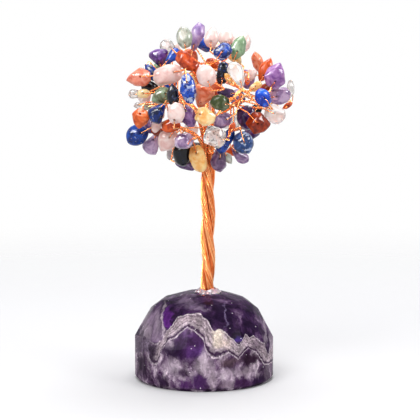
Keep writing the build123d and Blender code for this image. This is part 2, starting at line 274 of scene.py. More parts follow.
@dataclass
class Run:
    """One straight stretch of a rod: its two ends and how far its edges lie from its centre line."""

    start: Vector
    end: Vector
    radius: float

    @property
    def way(self) -> Vector:
        """The direction from start to end."""
        return (self.end - self.start).normalized()


def straight_runs(vertices: Iterable[bmesh.types.BMVert], least: float, spread: float) -> list[Run]:
    """Find the straight stretches of a rod from the long edges of its solid.

    Args:
        vertices: the vertices of one solid.
        least: the shortest edge that counts.
        spread: how far apart two edges of one stretch may lie.

    Returns:
        The stretches, each with its ends on the rod's centre line.
    """
    # A dict keeps the edges in the mesh's own order, so that every run gives the same stretches
    edges = dict.fromkeys(edge for vertex in vertices for edge in vertex.link_edges if edge.calc_length() > least)
    groups: list[list[tuple[Vector, Vector]]] = []
    for edge in sorted(edges, key=lambda item: -item.calc_length()):
        start, end = (vertex.co.copy() for vertex in edge.verts)
        for group in groups:
            low, high = group[0]
            way = (high - low).normalized()
            if (end - start).dot(way) < 0:
                start, end = end, start
            off = start - low
            beside = (off - way * off.dot(way)).length
            if abs((end - start).normalized().dot(way)) > SAME_WAY_COSINE and beside < spread:
                group.append((start, end))
                break
        else:
            groups.append([(start, end)])
    runs = []
    for group in groups:
        if len(group) < LEAST_EDGES:
            continue
        low, high = group[0]
        way = (high - low).normalized()
        middle = sum(((start + end) / 2 for start, end in group), Vector()) / len(group)
        middle = middle_line(group, middle, way)
        shares = [(point - middle).dot(way) for pair in group for point in pair]
        radius = sum((start - middle).cross(way).length for start, _ in group) / len(group)
        runs.append(Run(middle + way * min(shares), middle + way * max(shares), radius))
    return runs


def middle_line(group: Sequence[tuple[Vector, Vector]], middle: Vector, way: Vector) -> Vector:
    """A point on the line midway between parallel edges, however they are cut up.

    Args:
        group: the edges.
        middle: a point near them.
        way: their direction.

    Returns:
        A point on the middle line.
    """
    offs = []
    for start, _ in group:
        off = start - middle
        offs.append(off - way * off.dot(way))
    kept: list[Vector] = []
    for off in offs:
        if all((off - other).length > SAME_LINE_MM * MM for other in kept):
            kept.append(off)
    return middle + sum(kept, Vector()) / len(kept)


def smooth_line(points: Sequence[Vector], step: float) -> list[Vector]:
    """A smooth line through points, sampled at even steps.

    Args:
        points: the points that it passes through.
        step: the distance between samples.

    Returns:
        The samples, ends included.
    """
    rows = np.array([tuple(point) for point in points])
    rows = np.vstack([2 * rows[0] - rows[1], rows, 2 * rows[-1] - rows[-2]])
    samples = []
    for place in range(1, len(rows) - 2):
        before, low, high, after = rows[place - 1:place + 3]
        count = max(2, int(np.linalg.norm(high - low) / step))
        for share in np.arange(count) / count:
            square = 2 * before - 5 * low + 4 * high - after
            cube = 3 * low - before - 3 * high + after
            bend = square * share**2 + cube * share**3
            samples.append(low + 0.5 * ((high - before) * share + bend))
    samples.append(rows[-2])
    return [Vector(row) for row in samples]


def carried_frames(line: Sequence[Vector], first: Vector) -> list[tuple[Vector, Vector]]:
    """Two cross directions at each point of a line, carried along it without twist.

    Args:
        line: the points.
        first: a direction that the first cross direction lies closest to.

    Returns:
        A pair of unit directions for each point.
    """
    frames = []
    side = first
    for place, point in enumerate(line):
        ahead = line[min(place + 1, len(line) - 1)] - line[max(place - 1, 0)]
        ahead.normalize()
        side = (side - ahead * side.dot(ahead)).normalized()
        frames.append((side, ahead.cross(side)))
    return frames


def wire_mesh(name: str, lines: Iterable[Sequence[Vector]], radius: float, sides: int) -> bpy.types.Mesh:
    """Round wires along lines of points, as one mesh.

    Args:
        name: the curve's name.
        lines: the lines that the wires follow.
        radius: the wire's radius.
        sides: how finely the wire is rounded, in steps of a quarter turn.

    Returns:
        A mesh of all the wires.
    """
    curve = bpy.data.curves.new(name, "CURVE")
    curve.dimensions = "3D"
    curve.bevel_depth = radius
    curve.bevel_resolution = sides
    curve.use_fill_caps = True
    for line in lines:
        spline = curve.splines.new("POLY")
        spline.points.add(len(line) - 1)
        spline.points.foreach_set("co", [x for point in line for x in (*point, 1.0)])
    holder = bpy.data.objects.new(name, curve)
    mesh = bpy.data.meshes.new_from_object(holder)
    bpy.data.objects.remove(holder)
    bpy.data.curves.remove(curve)
    return mesh


def mark_parts(mesh: bpy.types.Mesh, name: str, seed: int, chosen: Sequence[float] = ()) -> None:
    """Give each separate part of a mesh its own number from 0 to 1, for the finish to vary by.

    Args:
        mesh: the mesh to mark.
        name: the name of the attribute that holds the numbers.
        seed: the seed of the draw for the parts that none is chosen for.
        chosen: the numbers of the first parts.
    """
    work = bmesh.new()
    work.from_mesh(mesh)
    draw = np.random.default_rng(seed)
    values = np.zeros(len(work.verts), np.float32)
    for number, group in enumerate(islands(work)):
        drawn = draw.random()
        for vertex in group:
            values[vertex.index] = chosen[number] if number < len(chosen) else drawn
    work.free()
    mesh.attributes.new(name, "FLOAT", "POINT").data.foreach_set("value", values)


@dataclass(frozen=True)
class CopperFinish:
    """Drawn copper wire: a bright warm metal with long glints, a little redder or paler from wire to wire."""

    bright: str = "#ffc084"
    # The deep tone: a random tone from wire to wire, and on the bundles' cores painted shade between the wires
    deep: str = "#e2691f"
    deep_at: float = 0.2
    bright_at: float = 0.75
    roughness: float = 0.24
    grain_mm: float = 0.8

    def material(self) -> bpy.types.Material:
        """The wire's material."""
        material, tree, shader = new_material("drawn_copper_wire")
        shade = add_node(tree, "Attribute", attribute_name="part_shade")
        place = add_node(tree, "TexCoord").outputs["Object"]
        grain = add_node(tree, "TexNoise", {"Vector": place, "Scale": 1 / (self.grain_mm * MM), "Detail": 3.0})
        both = add_node(tree, "Math", {0: shade.outputs["Fac"], 1: grain.outputs["Fac"]}, operation="ADD")
        half = add_node(tree, "Math", {0: both.outputs[0], 1: 0.5}, operation="MULTIPLY")
        stops = [(self.deep_at, self.deep), (self.bright_at, self.bright)]
        colour = set_ramp(add_node(tree, "ValToRGB", {0: half.outputs[0]}), stops).outputs[0]
        feed(tree, shader, {"Base Color": colour, "Metallic": 1.0, "Roughness": self.roughness})
        return material


@dataclass(frozen=True)
class StoneFinish:
    """A tumbled stone: its colours from dark to light, its clouds, veins and flecks, and how clear it is.

    Tumbling leaves a wet gloss over a faint ripple. Each chip shows another place of the pattern, because its shade
    also shifts the pattern, by chip_shift metres.
    """

    name: str
    colours: tuple[str, ...]
    cloud_mm: float = 2.6
    darkest_at: float = 0.34
    ramp_span: float = 0.32
    tone: float = 0.2
    chip_shift: tuple[float, float, float] = (0.37, 0.71, 0.53)
    clear: float = 0.0
    milky: float = 0.0
    milky_mm: float = 1.5
    milky_spread: tuple[float, float, float] = (1.0, 0.8, 0.8)
    roughness: float = 0.12
    gloss: float = 0.3
    ripple_mm: float = 1.2
    ripple_depth_mm: float = 0.2
    ripple_strength: float = 0.12
    vein: str = ""
    vein_mm: float = 3.4
    vein_rarest: float = 0.72
    vein_fullest: float = 0.49
    vein_edge: float = 0.09
    fleck: str = ""
    fleck_mm: float = 0.9
    fleck_share: float = 0.0

    def material(self) -> bpy.types.Material:
        """The stone's material, varied from chip to chip."""
        material, tree, shader = new_material(self.name)
        shade = add_node(tree, "Attribute", attribute_name="part_shade")
        place = add_node(tree, "TexCoord").outputs["Object"]
        shift = add_node(tree, "VectorMath", {0: shade.outputs["Color"], 1: self.chip_shift}, operation="MULTIPLY")
        spot = add_node(tree, "VectorMath", {0: place, 1: shift.outputs[0]}, operation="ADD").outputs[0]
        cloud = add_node(
            tree, "TexNoise", {"Vector": spot, "Scale": 1 / (self.cloud_mm * MM), "Detail": 4.0, "Distortion": 0.8}
        )
        lean = add_node(tree, "MapRange", {0: shade.outputs["Fac"], 3: -self.tone, 4: self.tone})
        mixed = add_node(tree, "Math", {0: cloud.outputs["Fac"], 1: lean.outputs[0]}, operation="ADD")
        last = len(self.colours) - 1
        stops = [(self.darkest_at + self.ramp_span * step / last, code) for step, code in enumerate(self.colours)]
        colour = set_ramp(add_node(tree, "ValToRGB", {0: mixed.outputs[0]}), stops).outputs[0]
        if self.vein:
            colour = self.veins(tree, spot, colour)
        if self.fleck:
            colour = self.flecks(tree, spot, colour)
        ripple = add_node(tree, "TexNoise", {"Vector": spot, "Scale": 1 / (self.ripple_mm * MM), "Detail": 3.0})
        height = {
            "Height": ripple.outputs["Fac"], "Strength": self.ripple_strength, "Distance": self.ripple_depth_mm * MM,
        }
        feed(tree, shader, {
            "Base Color": colour,
            "Normal": add_node(tree, "Bump", height).outputs[0],
            "Roughness": self.roughness,
            "IOR": QUARTZ_IOR,
            "Transmission Weight": self.clear,
            "Subsurface Weight": self.milky,
            "Subsurface Radius": self.milky_spread,
            "Subsurface Scale": self.milky_mm * MM,
            "Specular IOR Level": self.gloss,
        })
        return material

    def veins(self, tree: Tree, spot: Socket, colour: Socket) -> Socket:
        """Clouds and veins over the stone's colour, more of them where the chip's part_vein is high.

        Args:
            tree: the material's tree.
            spot: the place socket.
            colour: the colour socket so far.

        Returns:
            The new colour socket.
        """
        band = add_node(
            tree, "TexNoise", {"Vector": spot, "Scale": 1 / (self.vein_mm * MM), "Detail": 6.0, "Distortion": 1.6}
        ).outputs["Fac"]
        share = add_node(tree, "Attribute", attribute_name="part_vein").outputs["Fac"]
        low = add_node(tree, "MapRange", {0: share, 3: self.vein_rarest, 4: self.vein_fullest}).outputs[0]
        high = add_node(tree, "Math", {0: low, 1: self.vein_edge}, operation="ADD").outputs[0]
        mask = add_node(tree, "MapRange", {0: band, 1: low, 2: high}, interpolation_type="SMOOTHSTEP").outputs[0]
        return add_node(tree, "Mix", {0: mask, 6: colour, 7: linear(self.vein)}, data_type="RGBA").outputs[2]

    def flecks(self, tree: Tree, spot: Socket, colour: Socket) -> Socket:
        """Small bright specks over the stone's colour.

        Args:
            tree: the material's tree.
            spot: the place socket.
            colour: the colour socket so far.

        Returns:
            The new colour socket.
        """
        grit = add_node(tree, "TexVoronoi", {"Vector": spot, "Scale": 1 / (self.fleck_mm * MM), "Randomness": 1.0})
        inside = {0: grit.outputs["Distance"], 1: self.fleck_share}
        mask = add_node(tree, "Math", inside, operation="LESS_THAN").outputs[0]
        return add_node(tree, "Mix", {0: mask, 6: colour, 7: linear(self.fleck)}, data_type="RGBA").outputs[2]


FINISHES: dict[Stone, StoneFinish] = {
    # Violet glass with cloudy pale ends
    Stone.AMETHYST: StoneFinish("polished_amethyst", ("#3a1c54", "#6f4686", "#a57cb2"), clear=0.3, milky=0.2),
    # Greyish lilac, half clear
    Stone.PALE_AMETHYST: StoneFinish("pale_amethyst", ("#644877", "#9878a4", "#caaecd"), clear=0.25, milky=0.3),
    # Milky pink that glows at its thin edges
    Stone.ROSE_QUARTZ: StoneFinish("rose_quartz", ("#e3b9b3", "#eed1cb", "#f6e4df"), clear=0.25, milky=0.5),
    # Glassy, with fine grey cracks inside
    Stone.CLEAR_QUARTZ: StoneFinish(
        "clear_quartz", ("#c9c5c3", "#e2deda", "#f8f6f4"),
        clear=0.7, milky=0.2, roughness=0.06, vein="#857f7d", vein_mm=1.3,
    ),
    # Opaque deep blue with pale veins and brassy specks
    Stone.LAPIS: StoneFinish(
        "lapis_lazuli", ("#051238", "#0c2c7c", "#1a4ab4"),
        cloud_mm=2.0, vein="#a3aecb", fleck="#b8913e", fleck_share=0.12,
    ),
    # Opaque blue black with grey-blue veins
    Stone.SODALITE: StoneFinish("dark_sodalite", ("#06070f", "#10162e", "#1f3f9c"), vein="#3f4866"),
    # Opaque brick red, clouded
    Stone.RED_JASPER: StoneFinish("red_jasper", ("#7a2208", "#b03c13", "#d65822"), cloud_mm=2.4, milky=0.1),
    # Waxy orange that lets some light through
    Stone.CARNELIAN: StoneFinish("carnelian", ("#c64e28", "#e87a50", "#f6a684"), clear=0.15, milky=0.4),
    # Olive to sea green with pale glints
    Stone.AVENTURINE: StoneFinish(
        "green_aventurine", ("#38471c", "#73785a", "#9db695"),
        clear=0.25, milky=0.2, fleck="#aebfa4", fleck_share=0.07,
    ),
    # Honey yellow, half clear
    Stone.CITRINE: StoneFinish("citrine", ("#e59c46", "#f9c478", "#ffe8b8"), clear=0.25, milky=0.5),
    # Watery grey green, nearly clear
    Stone.PREHNITE: StoneFinish("prehnite", ("#8f9888", "#b9c0b2", "#dfe3d8"), clear=0.55, milky=0.3),
}


def variant(stone: Stone, name: str, *colours: str, **changes: float) -> StoneFinish:
    """A stone's finish under another name, in other colours."""
    return replace(FINISHES[stone], name=name, colours=colours, **changes)


# The chips that differ in colour from the rest of their stone
LOOSE_FINISHES: dict[str, StoneFinish] = {
    # An even salmon pink with a waxy glow
    "coral_tear": variant(Stone.CARNELIAN, "coral_agate", "#d6624a", "#e88a70", "#f3ab96"),
    # Lighter and more orange than the other jaspers
    "jasper_tear": variant(Stone.RED_JASPER, "orange_jasper", "#a83c10", "#d45c26", "#e88048"),
    # Dark liver red
    "jasper_heart": variant(Stone.RED_JASPER, "brown_jasper", "#4c0e02", "#7a1f04", "#a6380c"),
    # Blue under a grey haze of veins
    "lapis_ball": variant(Stone.LAPIS, "grey_lapis", "#0f1c3c", "#234076", "#4a68a4"),
    # A clean bright blue with no veins
    "lapis_disc": variant(Stone.LAPIS, "bright_lapis", "#051c74", "#0a3cb8", "#1e64e0"),
    # Royal blue with dark clouds
    "lapis_round": variant(Stone.LAPIS, "royal_lapis", "#03123e", "#062c7c", "#0d46a4"),
    # Smoky purple
    "smoky_drop": variant(Stone.PALE_AMETHYST, "smoky_amethyst", "#4f3656", "#75567c", "#9a7fa0"),
    # Bluish lilac, lightest at its tip
    "tall_amethyst": variant(Stone.AMETHYST, "blue_amethyst", "#7d5fa0", "#a688bf", "#cdb4d8"),
    # Warm lilac
    "large_amethyst": variant(Stone.AMETHYST, "lilac_amethyst", "#74408c", "#a06aae", "#cc9ed2"),
    # Deep violet, almost black in its shade
    "dark_amethyst_wedge": variant(Stone.AMETHYST, "deep_amethyst", "#280c46", "#521f78", "#8456aa"),
    # Pale sea green
    "aventurine_leaf": variant(Stone.AVENTURINE, "pale_aventurine", "#64865f", "#85a47e", "#abc3a2"),
    # Glassy with a breath of pink
    "clear_block": variant(
        Stone.ROSE_QUARTZ, "glassy_quartz", "#e6d6d2", "#f2e7e4", "#fcf6f4", clear=0.6, milky=0.3
    ),
    # Amber yellow
    "citrine_nugget": variant(Stone.CITRINE, "amber_citrine", "#e69a45", "#f8bd6e", "#fedb9a"),
}

# How full a chip is, as a share of its solid's volume: one that is wedged in, and one that has to turn
WEDGED_PLUMP = 1.12
LOOSE_PLUMP = 1.03

# The steps of smoothing that tumbling stands for, and the chips that it has worn rounder than the rest
TUMBLED = 18
ROUNDER: dict[str, int] = {
    "lapis_round": 90,
    "lapis_ball": 60,
    "lapis_disc": 45,
    "rose_quartz_chips": 30,
    "prehnite_chips": 30,
}

# How light each chip of a group is and how veined, in the order of the group's solids. The first ones of each
# group face the viewer, and the rest get a draw.
SHADES: dict[str, tuple[float, ...]] = {
    "amethyst_chips": (0.1, 0.15, 0.55),
    "aventurine_chips": (0.66, 0.22),
    "carnelian_chips": (0.3, 0.65),
    "citrine_chips": (0.8, 0.4, 0.5, 0.7),
    "clear_quartz_chips": (0.2, 0.4, 0.4, 0.85, 0.5, 0.95, 0.5),
    "lapis_chips": (0.7, 0.75, 0.25, 0.6),
    "pale_amethyst_chips": (0.75, 0.5, 0.4, 0.1, 0.85, 0.55),
    "prehnite_chips": (0.5, 0.4, 0.6),
    "red_jasper_chips": (0.5, 0.7, 0.6, 0.7, 0.7, 0.75, 0.3),
    "rose_quartz_chips": (0.35, 0.6, 0.8, 0.6, 0.5, 0.75, 0.6, 0.5),
    "sodalite_chips": (0.8, 0.15, 0.3, 0.4, 0.05),
}
VEINS: dict[str, tuple[float, ...]] = {
    "clear_quartz_chips": (0.0, 0.1, 0.1, 0.3, 0.0, 0.8, 0.2, 0.1, 0.1, 0.1),
    "lapis_chips": (0.1, 1.0, 0.5, 0.35),
    "lapis_square": (0.85,),
    "lapis_ball": (0.7,),
    "lapis_disc": (0.0,),
    "lapis_round": (0.2,),
    "sodalite_chips": (0.0, 0.3, 0.5, 0.6, 0.2),
}


@dataclass(frozen=True)
class Twig:
    """One twig of the frame: the corners of its rod from bough to knot, and its chip's hole."""

    corners: tuple[Vector, ...]
    hole: Vector
    axis: Vector

    @property
    def knot(self) -> Vector:
        """The point behind the chip where the two wires part."""
        return self.corners[-1]


@dataclass(frozen=True)
class TwigReader:
    """Reads the twigs of a bough back from the frame's solids, by the sizes of their rods and loops."""

    least_edge_mm: float = 0.62
    spread_mm: float = 0.85
    loop_radius_mm: float = 0.29

    def read(self, node: str) -> list[Twig]:
        """Read the twigs of one bough.

        Args:
            node: the name of a node of twigs.

        Returns:
            The twigs.
        """
        mesh = merged_copy(node)
        twigs = []
        for group in islands(mesh):
            runs = straight_runs(group, self.least_edge_mm * MM, self.spread_mm * MM)
            rods = [run for run in runs if run.radius > self.loop_radius_mm * MM]
            loops = [run for run in runs if run.radius < self.loop_radius_mm * MM]
            if not rods or not loops:
                log.warning("%s: a twig with %d rods and %d loops", node, len(rods), len(loops))
                continue
            hole = self.hole_run(loops)
            middle = (hole.start + hole.end) / 2
            twigs.append(Twig(self.corners(rods, middle), middle, hole.way))
        mesh.free()
        return twigs

    def hole_run(self, loops: Sequence[Run]) -> Run:
        """The stretch of a loop that passes through the chip: the one whose two ends are most alike.

        Args:
            loops: the stretches of the loop.

        Returns:
            The stretch in the hole.
        """
        middle = sum(((run.start + run.end) / 2 for run in loops), Vector()) / len(loops)
        return min(loops, key=lambda run: abs((run.start - middle).length - (run.end - middle).length))

    def corners(self, rods: Sequence[Run], hole: Vector) -> tuple[Vector, ...]:
        """The corners of a twig's rod.

        Args:
            rods: the straight stretches of the rod.
            hole: the middle of the chip's hole.

        Returns:
            The corners from the bough to the knot behind the chip.
        """
        corners: list[Vector] = []
        for run in sorted(rods, key=lambda run: min((run.start - hole).length, (run.end - hole).length)):
            near, far = run.start, run.end
            anchor = corners[-1] if corners else hole
            if (far - anchor).length < (near - anchor).length:
                near, far = far, near
            corners += [far] if corners else [near, far]
        return tuple(reversed(corners))


def with_modifiers(mesh: bpy.types.Mesh, add: Callable[[bpy.types.Object], None]) -> bpy.types.Mesh:
    """Run modifiers on a mesh and keep the result.

    Args:
        mesh: the mesh, which is used up.
        add: a function that adds the modifiers to the object that it is given.

    Returns:
        The new mesh.
    """
    holder = bpy.data.objects.new("holder", mesh)
    bpy.context.scene.collection.objects.link(holder)
    add(holder)
    graph = bpy.context.evaluated_depsgraph_get()
    graph.update()
    result = bpy.data.meshes.new_from_object(holder.evaluated_get(graph))
    bpy.data.objects.remove(holder)
    bpy.data.meshes.remove(mesh)
    return result


def evened(mesh: bpy.types.Mesh, voxel_mm: float) -> bpy.types.Mesh:
    """Give a closed mesh small even faces.

    Args:
        mesh: the mesh, which is used up.
        voxel_mm: the size of the faces.

    Returns:
        The new mesh.
    """
    def add_remesh(piece: bpy.types.Object) -> None:
        """Add the modifier that lays the faces anew.

        Args:
            piece: the object that it goes on.
        """
        remesh = piece.modifiers.new("even", "REMESH")
        remesh.mode = "VOXEL"
        remesh.voxel_size = voxel_mm * MM

    return with_modifiers(mesh, add_remesh)


def wear(work: bmesh.types.BMesh, steps: int) -> None:
    """Wear a mesh's edges down.

    Args:
        work: the mesh.
        steps: how many times it is smoothed.
    """
    for _ in range(steps):
        bmesh.ops.smooth_vert(work, verts=work.verts, factor=0.5, use_axis_x=True, use_axis_y=True, use_axis_z=True)


@dataclass
class ChipCluster:
    """The chips of one node, tumbled to pebbles with drilled holes."""

    node: str
    body: str
    stone: Stone
    smooth_steps: int
    plump: float
    voxel_mm: float = 0.3
    dent_mm: float = 0.3
    dent_size_mm: float = 3.4
    dent_shift: tuple[float, float, float] = (7.3, 1.7, 3.1)
    drill_mm: float = 0.42
    drill_length_mm: float = 12.0
    drill_sides: int = 14
    middling: float = 0.5
    trees: list[BVHTree] = field(default_factory=list)
    middles: list[Vector] = field(default_factory=list)

    def build(self, material: bpy.types.Material, twigs: Sequence[Twig]) -> None:
        """Make the cluster's pebbles.

        Args:
            material: the stone's finish.
            twigs: all the twigs, among which are those of these chips.
        """
        solids = merged_copy(self.node)
        whole = bmesh.new()
        for number, group in enumerate(islands(solids)):
            middle = sum((vertex.co for vertex in group), Vector()) / len(group)
            twig = min(twigs, key=lambda item: (item.hole - middle).length)
            pebble = self.drilled(self.pebble(group, number), twig)
            work = bmesh.new()
            work.from_mesh(pebble)
            self.trees.append(BVHTree.FromBMesh(work))
            self.middles.append(middle)
            work.free()
            whole.from_mesh(pebble)
            bpy.data.meshes.remove(pebble)
        solids.free()
        mesh = kept_mesh(whole, self.node)
        seed = seed_of(self.node)
        alone = (self.middling,) if len(self.middles) == 1 else ()
        mark_parts(mesh, "part_shade", seed, SHADES.get(self.node, alone))
        mark_parts(mesh, "part_vein", seed + 1, VEINS.get(self.node, alone))
        piece = new_piece(f"{self.node}_tumbled", mesh, material)
        settle(piece, self.body, self.stone.value, self.node)

    def pebble(self, group: Island, number: int) -> bpy.types.Mesh:
        """Round one solid off as tumbling does.

        Args:
            group: the vertices of the solid.
            number: its place in the node, which moves its dents.

        Returns:
            A closed mesh of the pebble.
        """
        hull = bmesh.new()
        corners = [hull.verts.new(vertex.co) for vertex in group]
        bmesh.ops.convex_hull(hull, input=corners)
        bmesh.ops.delete(hull, geom=[v for v in hull.verts if not v.link_faces], context="VERTS")
        bmesh.ops.recalc_face_normals(hull, faces=hull.faces)
        mesh = evened(kept_mesh(hull, "pebble"), self.voxel_mm)
        work = bmesh.new()
        work.from_mesh(mesh)
        full = work.calc_volume()
        wear(work, self.smooth_steps)
        grow = (self.plump * full / work.calc_volume()) ** (1 / 3)
        middle = sum((vertex.co for vertex in work.verts), Vector()) / len(work.verts)
        work.normal_update()
        across, along, up = self.dent_shift
        offset = Vector((number * across, len(group) * along, number * up))
        for vertex in work.verts:
            rise = noise.noise(vertex.co / (self.dent_size_mm * MM) + offset)
            vertex.co = middle + (vertex.co - middle) * grow + vertex.normal * rise * self.dent_mm * MM
        work.to_mesh(mesh)
        work.free()
        return mesh

    def drilled(self, mesh: bpy.types.Mesh, twig: Twig) -> bpy.types.Mesh:
        """Drill a pebble where its wire passes.

        Args:
            mesh: the pebble, which is used up.
            twig: the twig that carries it.

        Returns:
            The drilled pebble.
        """
        drill = bmesh.new()
        turn = Vector((0, 0, 1)).rotation_difference(twig.axis).to_matrix().to_4x4()
        bmesh.ops.create_cone(
            drill,
            cap_ends=True,
            segments=self.drill_sides,
            radius1=self.drill_mm * MM,
            radius2=self.drill_mm * MM,
            depth=self.drill_length_mm * MM,
            matrix=Matrix.Translation(twig.hole) @ turn,
        )
        tool_mesh = kept_mesh(drill, "drill")
        tool = bpy.data.objects.new("drill", tool_mesh)
        bpy.context.scene.collection.objects.link(tool)

        def add_cut(piece: bpy.types.Object) -> None:
            """Add the modifier that takes the drill away.

            Args:
                piece: the object that it goes on.
            """
            hole = piece.modifiers.new("hole", "BOOLEAN")
            hole.operation = "DIFFERENCE"
            hole.object = tool
            hole.solver = "EXACT"

        result = with_modifiers(mesh, add_cut)
        bpy.data.objects.remove(tool)
        bpy.data.meshes.remove(tool_mesh)
        return result


@dataclass
class TwigSpray:
    """The twigs of one bough, each one wire twisted with itself and looped through its chip.

    A twig starts along its bough, lead_mm before it leaves and skirt_mm from the bough's middle. Its loop is laid
    on the pebble by rays from ray_mm out, at hug_shares of the way from the hole to the knot.
    """

    node: str
    bough: Sequence[Vector]
    body: str = "tree"
    wire_mm: float = 0.165
    pair_mm: float = 0.17
    lay_mm: float = 2.1
    step_mm: float = 0.17
    sides: int = 1
    lead_mm: float = 3.4
    leave_mm: float = 1.2
    skirt_mm: float = 0.55
    leave_skirt: float = 0.95
    ray_mm: float = 8.0
    hug_shares: tuple[float, ...] = (0.72, 0.5, 0.3, 0.12)
    rim_share: float = 0.22
    lift_share: float = 1.15
    past_hole_mm: float = 0.4
    half_depth_mm: float = 1.2
    inside_share: float = 0.55
    loop_step_share: float = 1.4

    def build(self, material: bpy.types.Material, twigs: Sequence[Twig], clusters: Sequence[ChipCluster]) -> None:
        """Wind the wires of all the twigs.

        Args:
            material: the copper finish.
            twigs: the twigs of this node.
            clusters: the clusters whose pebbles the wires pass through.
        """
        lines = [self.wire_line(twig, clusters) for twig in twigs]
        mesh = wire_mesh(self.node, lines, self.wire_mm * MM, self.sides)
        mark_parts(mesh, "part_shade", seed_of(self.node))
        piece = new_piece(f"{self.node}_wound", mesh, material)
        settle(piece, self.body, "copper_wire", self.node)

    def wire_line(self, twig: Twig, clusters: Sequence[ChipCluster]) -> list[Vector]:
        """The line of one wire: along the twig, round the chip and back along the twig.

        Args:
            twig: the twig.
            clusters: the clusters of chips.

        Returns:
            Points along the wire.
        """
        line = smooth_line([*self.rooted(twig), *twig.corners], self.step_mm * MM)
        frames = carried_frames(list(reversed(line)), twig.axis)
        frames.reverse()
        out, back = [], []
        reach = 0.0
        for place in range(len(line) - 1, -1, -1):
            if place < len(line) - 1:
                reach += (line[place + 1] - line[place]).length
            turn = 2 * math.pi * reach / (self.lay_mm * MM)
            side, over = frames[place]
            off = (side * math.cos(turn) + over * math.sin(turn)) * self.pair_mm * MM
            out.append(line[place] + off)
            back.append(line[place] - off)
        out.reverse()
        return [*out, *self.loop(twig, clusters), *back]

    def rooted(self, twig: Twig) -> list[Vector]:
        """Points that lead a twig out of its bough.

        Args:
            twig: the twig.

        Returns:
            Two points along the bough, the nearer one to the twig's root last.
        """
        root = twig.corners[0]
        feet = []
        for low, high in zip(self.bough[:-1], self.bough[1:]):
            way = (high - low).normalized()
            share = min(max((root - low).dot(way), 0.0), (high - low).length)
            feet.append((low + way * share, way))
        foot, way = min(feet, key=lambda item: (root - item[0]).length)
        out = (root - foot).normalized()
        skirt = self.skirt_mm * MM
        return [
            foot - way * self.lead_mm * MM + out * skirt,
            foot - way * self.leave_mm * MM + out * skirt * self.leave_skirt,
        ]

    def loop(self, twig: Twig, clusters: Sequence[ChipCluster]) -> list[Vector]:
        """The loop through the chip, hugging the pebble on both faces.

        Args:
            twig: the twig.
            clusters: the clusters of chips.

        Returns:
            Points from the knot through the hole and back to the knot.
        """
        tree = nearest_pebble(twig, clusters)
        near, far = (self.hug(twig, twig.axis * sign, tree) for sign in (1, -1))
        start = twig.knot + twig.axis * self.pair_mm * MM
        end = twig.knot - twig.axis * self.pair_mm * MM
        points = [start, *near, twig.hole, *reversed(far), end]
        return smooth_line(points, self.step_mm * MM * self.loop_step_share)[1:-1]

    def hug(self, twig: Twig, axis: Vector, tree: BVHTree) -> list[Vector]:
        """Points of the wire on one face of the pebble.

        Args:
            twig: the twig.
            axis: the way out of that face along the hole.
            tree: the pebble.

        Returns:
            Points from the knot's side to just inside the hole.
        """
        lift = self.wire_mm * MM * self.lift_share
        points = []
        for share in self.hug_shares:
            hit = tree.ray_cast(twig.hole.lerp(twig.knot, share) + axis * self.ray_mm * MM, -axis)[0]
            if hit is not None and (hit - twig.hole).dot(axis) > -self.past_hole_mm * MM:
                points.append(hit + axis * lift)
        rim = tree.ray_cast(twig.hole.lerp(twig.knot, self.rim_share) + axis * self.ray_mm * MM, -axis)[0]
        depth = self.half_depth_mm * MM if rim is None else (rim - twig.hole).dot(axis)
        return [*points, twig.hole + axis * depth * self.inside_share]


def nearest_pebble(twig: Twig, clusters: Sequence[ChipCluster]) -> BVHTree:
    """The pebble that a twig carries.

    Args:
        twig: the twig.
        clusters: the clusters of chips.

    Returns:
        The pebble's faces, for casting rays at.
    """
    pebbles = [pair for cluster in clusters for pair in zip(cluster.middles, cluster.trees)]
    return min(pebbles, key=lambda pair: (pair[0] - twig.hole).length)[1]


@dataclass
class WireBundle:
    """A rod of the frame wound again from thin wires round its centre line, over a core that closes the gaps.

    The core wears the copper's deep tone as painted shade in the gaps between the wires. No two wires lie quite
    alike: each sways along the bundle's surface and strays in and out of it.
    """

    node: str
    line: Sequence[Vector]
    radius_mm: float
    wires: int
    wire_mm: float
    lay_mm: float
    body: str = "tree"
    step_mm: float = 0.55
    core_share: float = 0.86
    # part_shade of the core: 0 gives the copper's deep tone, painted shade in the gaps between the wires
    core_painted_gap_shade: float = 0.0
    wire_sides: int = 1
    core_sides: int = 2
    sway: float = 0.16
    sway_length_mm: float = 4.1
    sway_start: float = 3.0
    stray_mm: float = 0.05
    stray_length_mm: float = 5.3
    stray_start: float = 6.0

    def build(self, material: bpy.types.Material) -> None:
        """Wind the bundle.

        Args:
            material: the copper finish.
        """
        line = smooth_line(self.line, self.step_mm * MM)
        frames = carried_frames(line, Vector((1, 0, 0)))
        draw = np.random.default_rng(seed_of(self.node))
        ring = (self.radius_mm - self.wire_mm) * MM
        wires = []
        for number in range(self.wires):
            wander = draw.uniform(-1, 1, 4)
            start = 2 * math.pi * number / self.wires
            points = []
            reach = 0.0
            for place, point in enumerate(line):
                if place:
                    reach += (point - line[place - 1]).length
                swing = math.sin(reach / (self.sway_length_mm * MM) + self.sway_start * wander[1])
                turn = start - 2 * math.pi * reach / (self.lay_mm * MM) + wander[0] * swing * self.sway
                stray = math.sin(reach / (self.stray_length_mm * MM) + self.stray_start * wander[2])
                out = ring + self.stray_mm * MM * stray * wander[3]
                side, over = frames[place]
                points.append(point + (side * math.cos(turn) + over * math.sin(turn)) * out)
            wires.append(points)
        mesh = wire_mesh(self.node, wires, self.wire_mm * MM, self.wire_sides)
        core = wire_mesh(self.node + "_core", [line], ring * self.core_share, self.core_sides)
        work = bmesh.new()
        work.from_mesh(core)
        work.from_mesh(mesh)
        work.to_mesh(mesh)
        work.free()
        bpy.data.meshes.remove(core)
        # The core is the first part, so it gets the painted gap shade
        mark_parts(mesh, "part_shade", seed_of(self.node), (self.core_painted_gap_shade,))
        piece = new_piece(f"{self.node}_wound", mesh, material)
        settle(piece, self.body, "copper_wire", self.node)


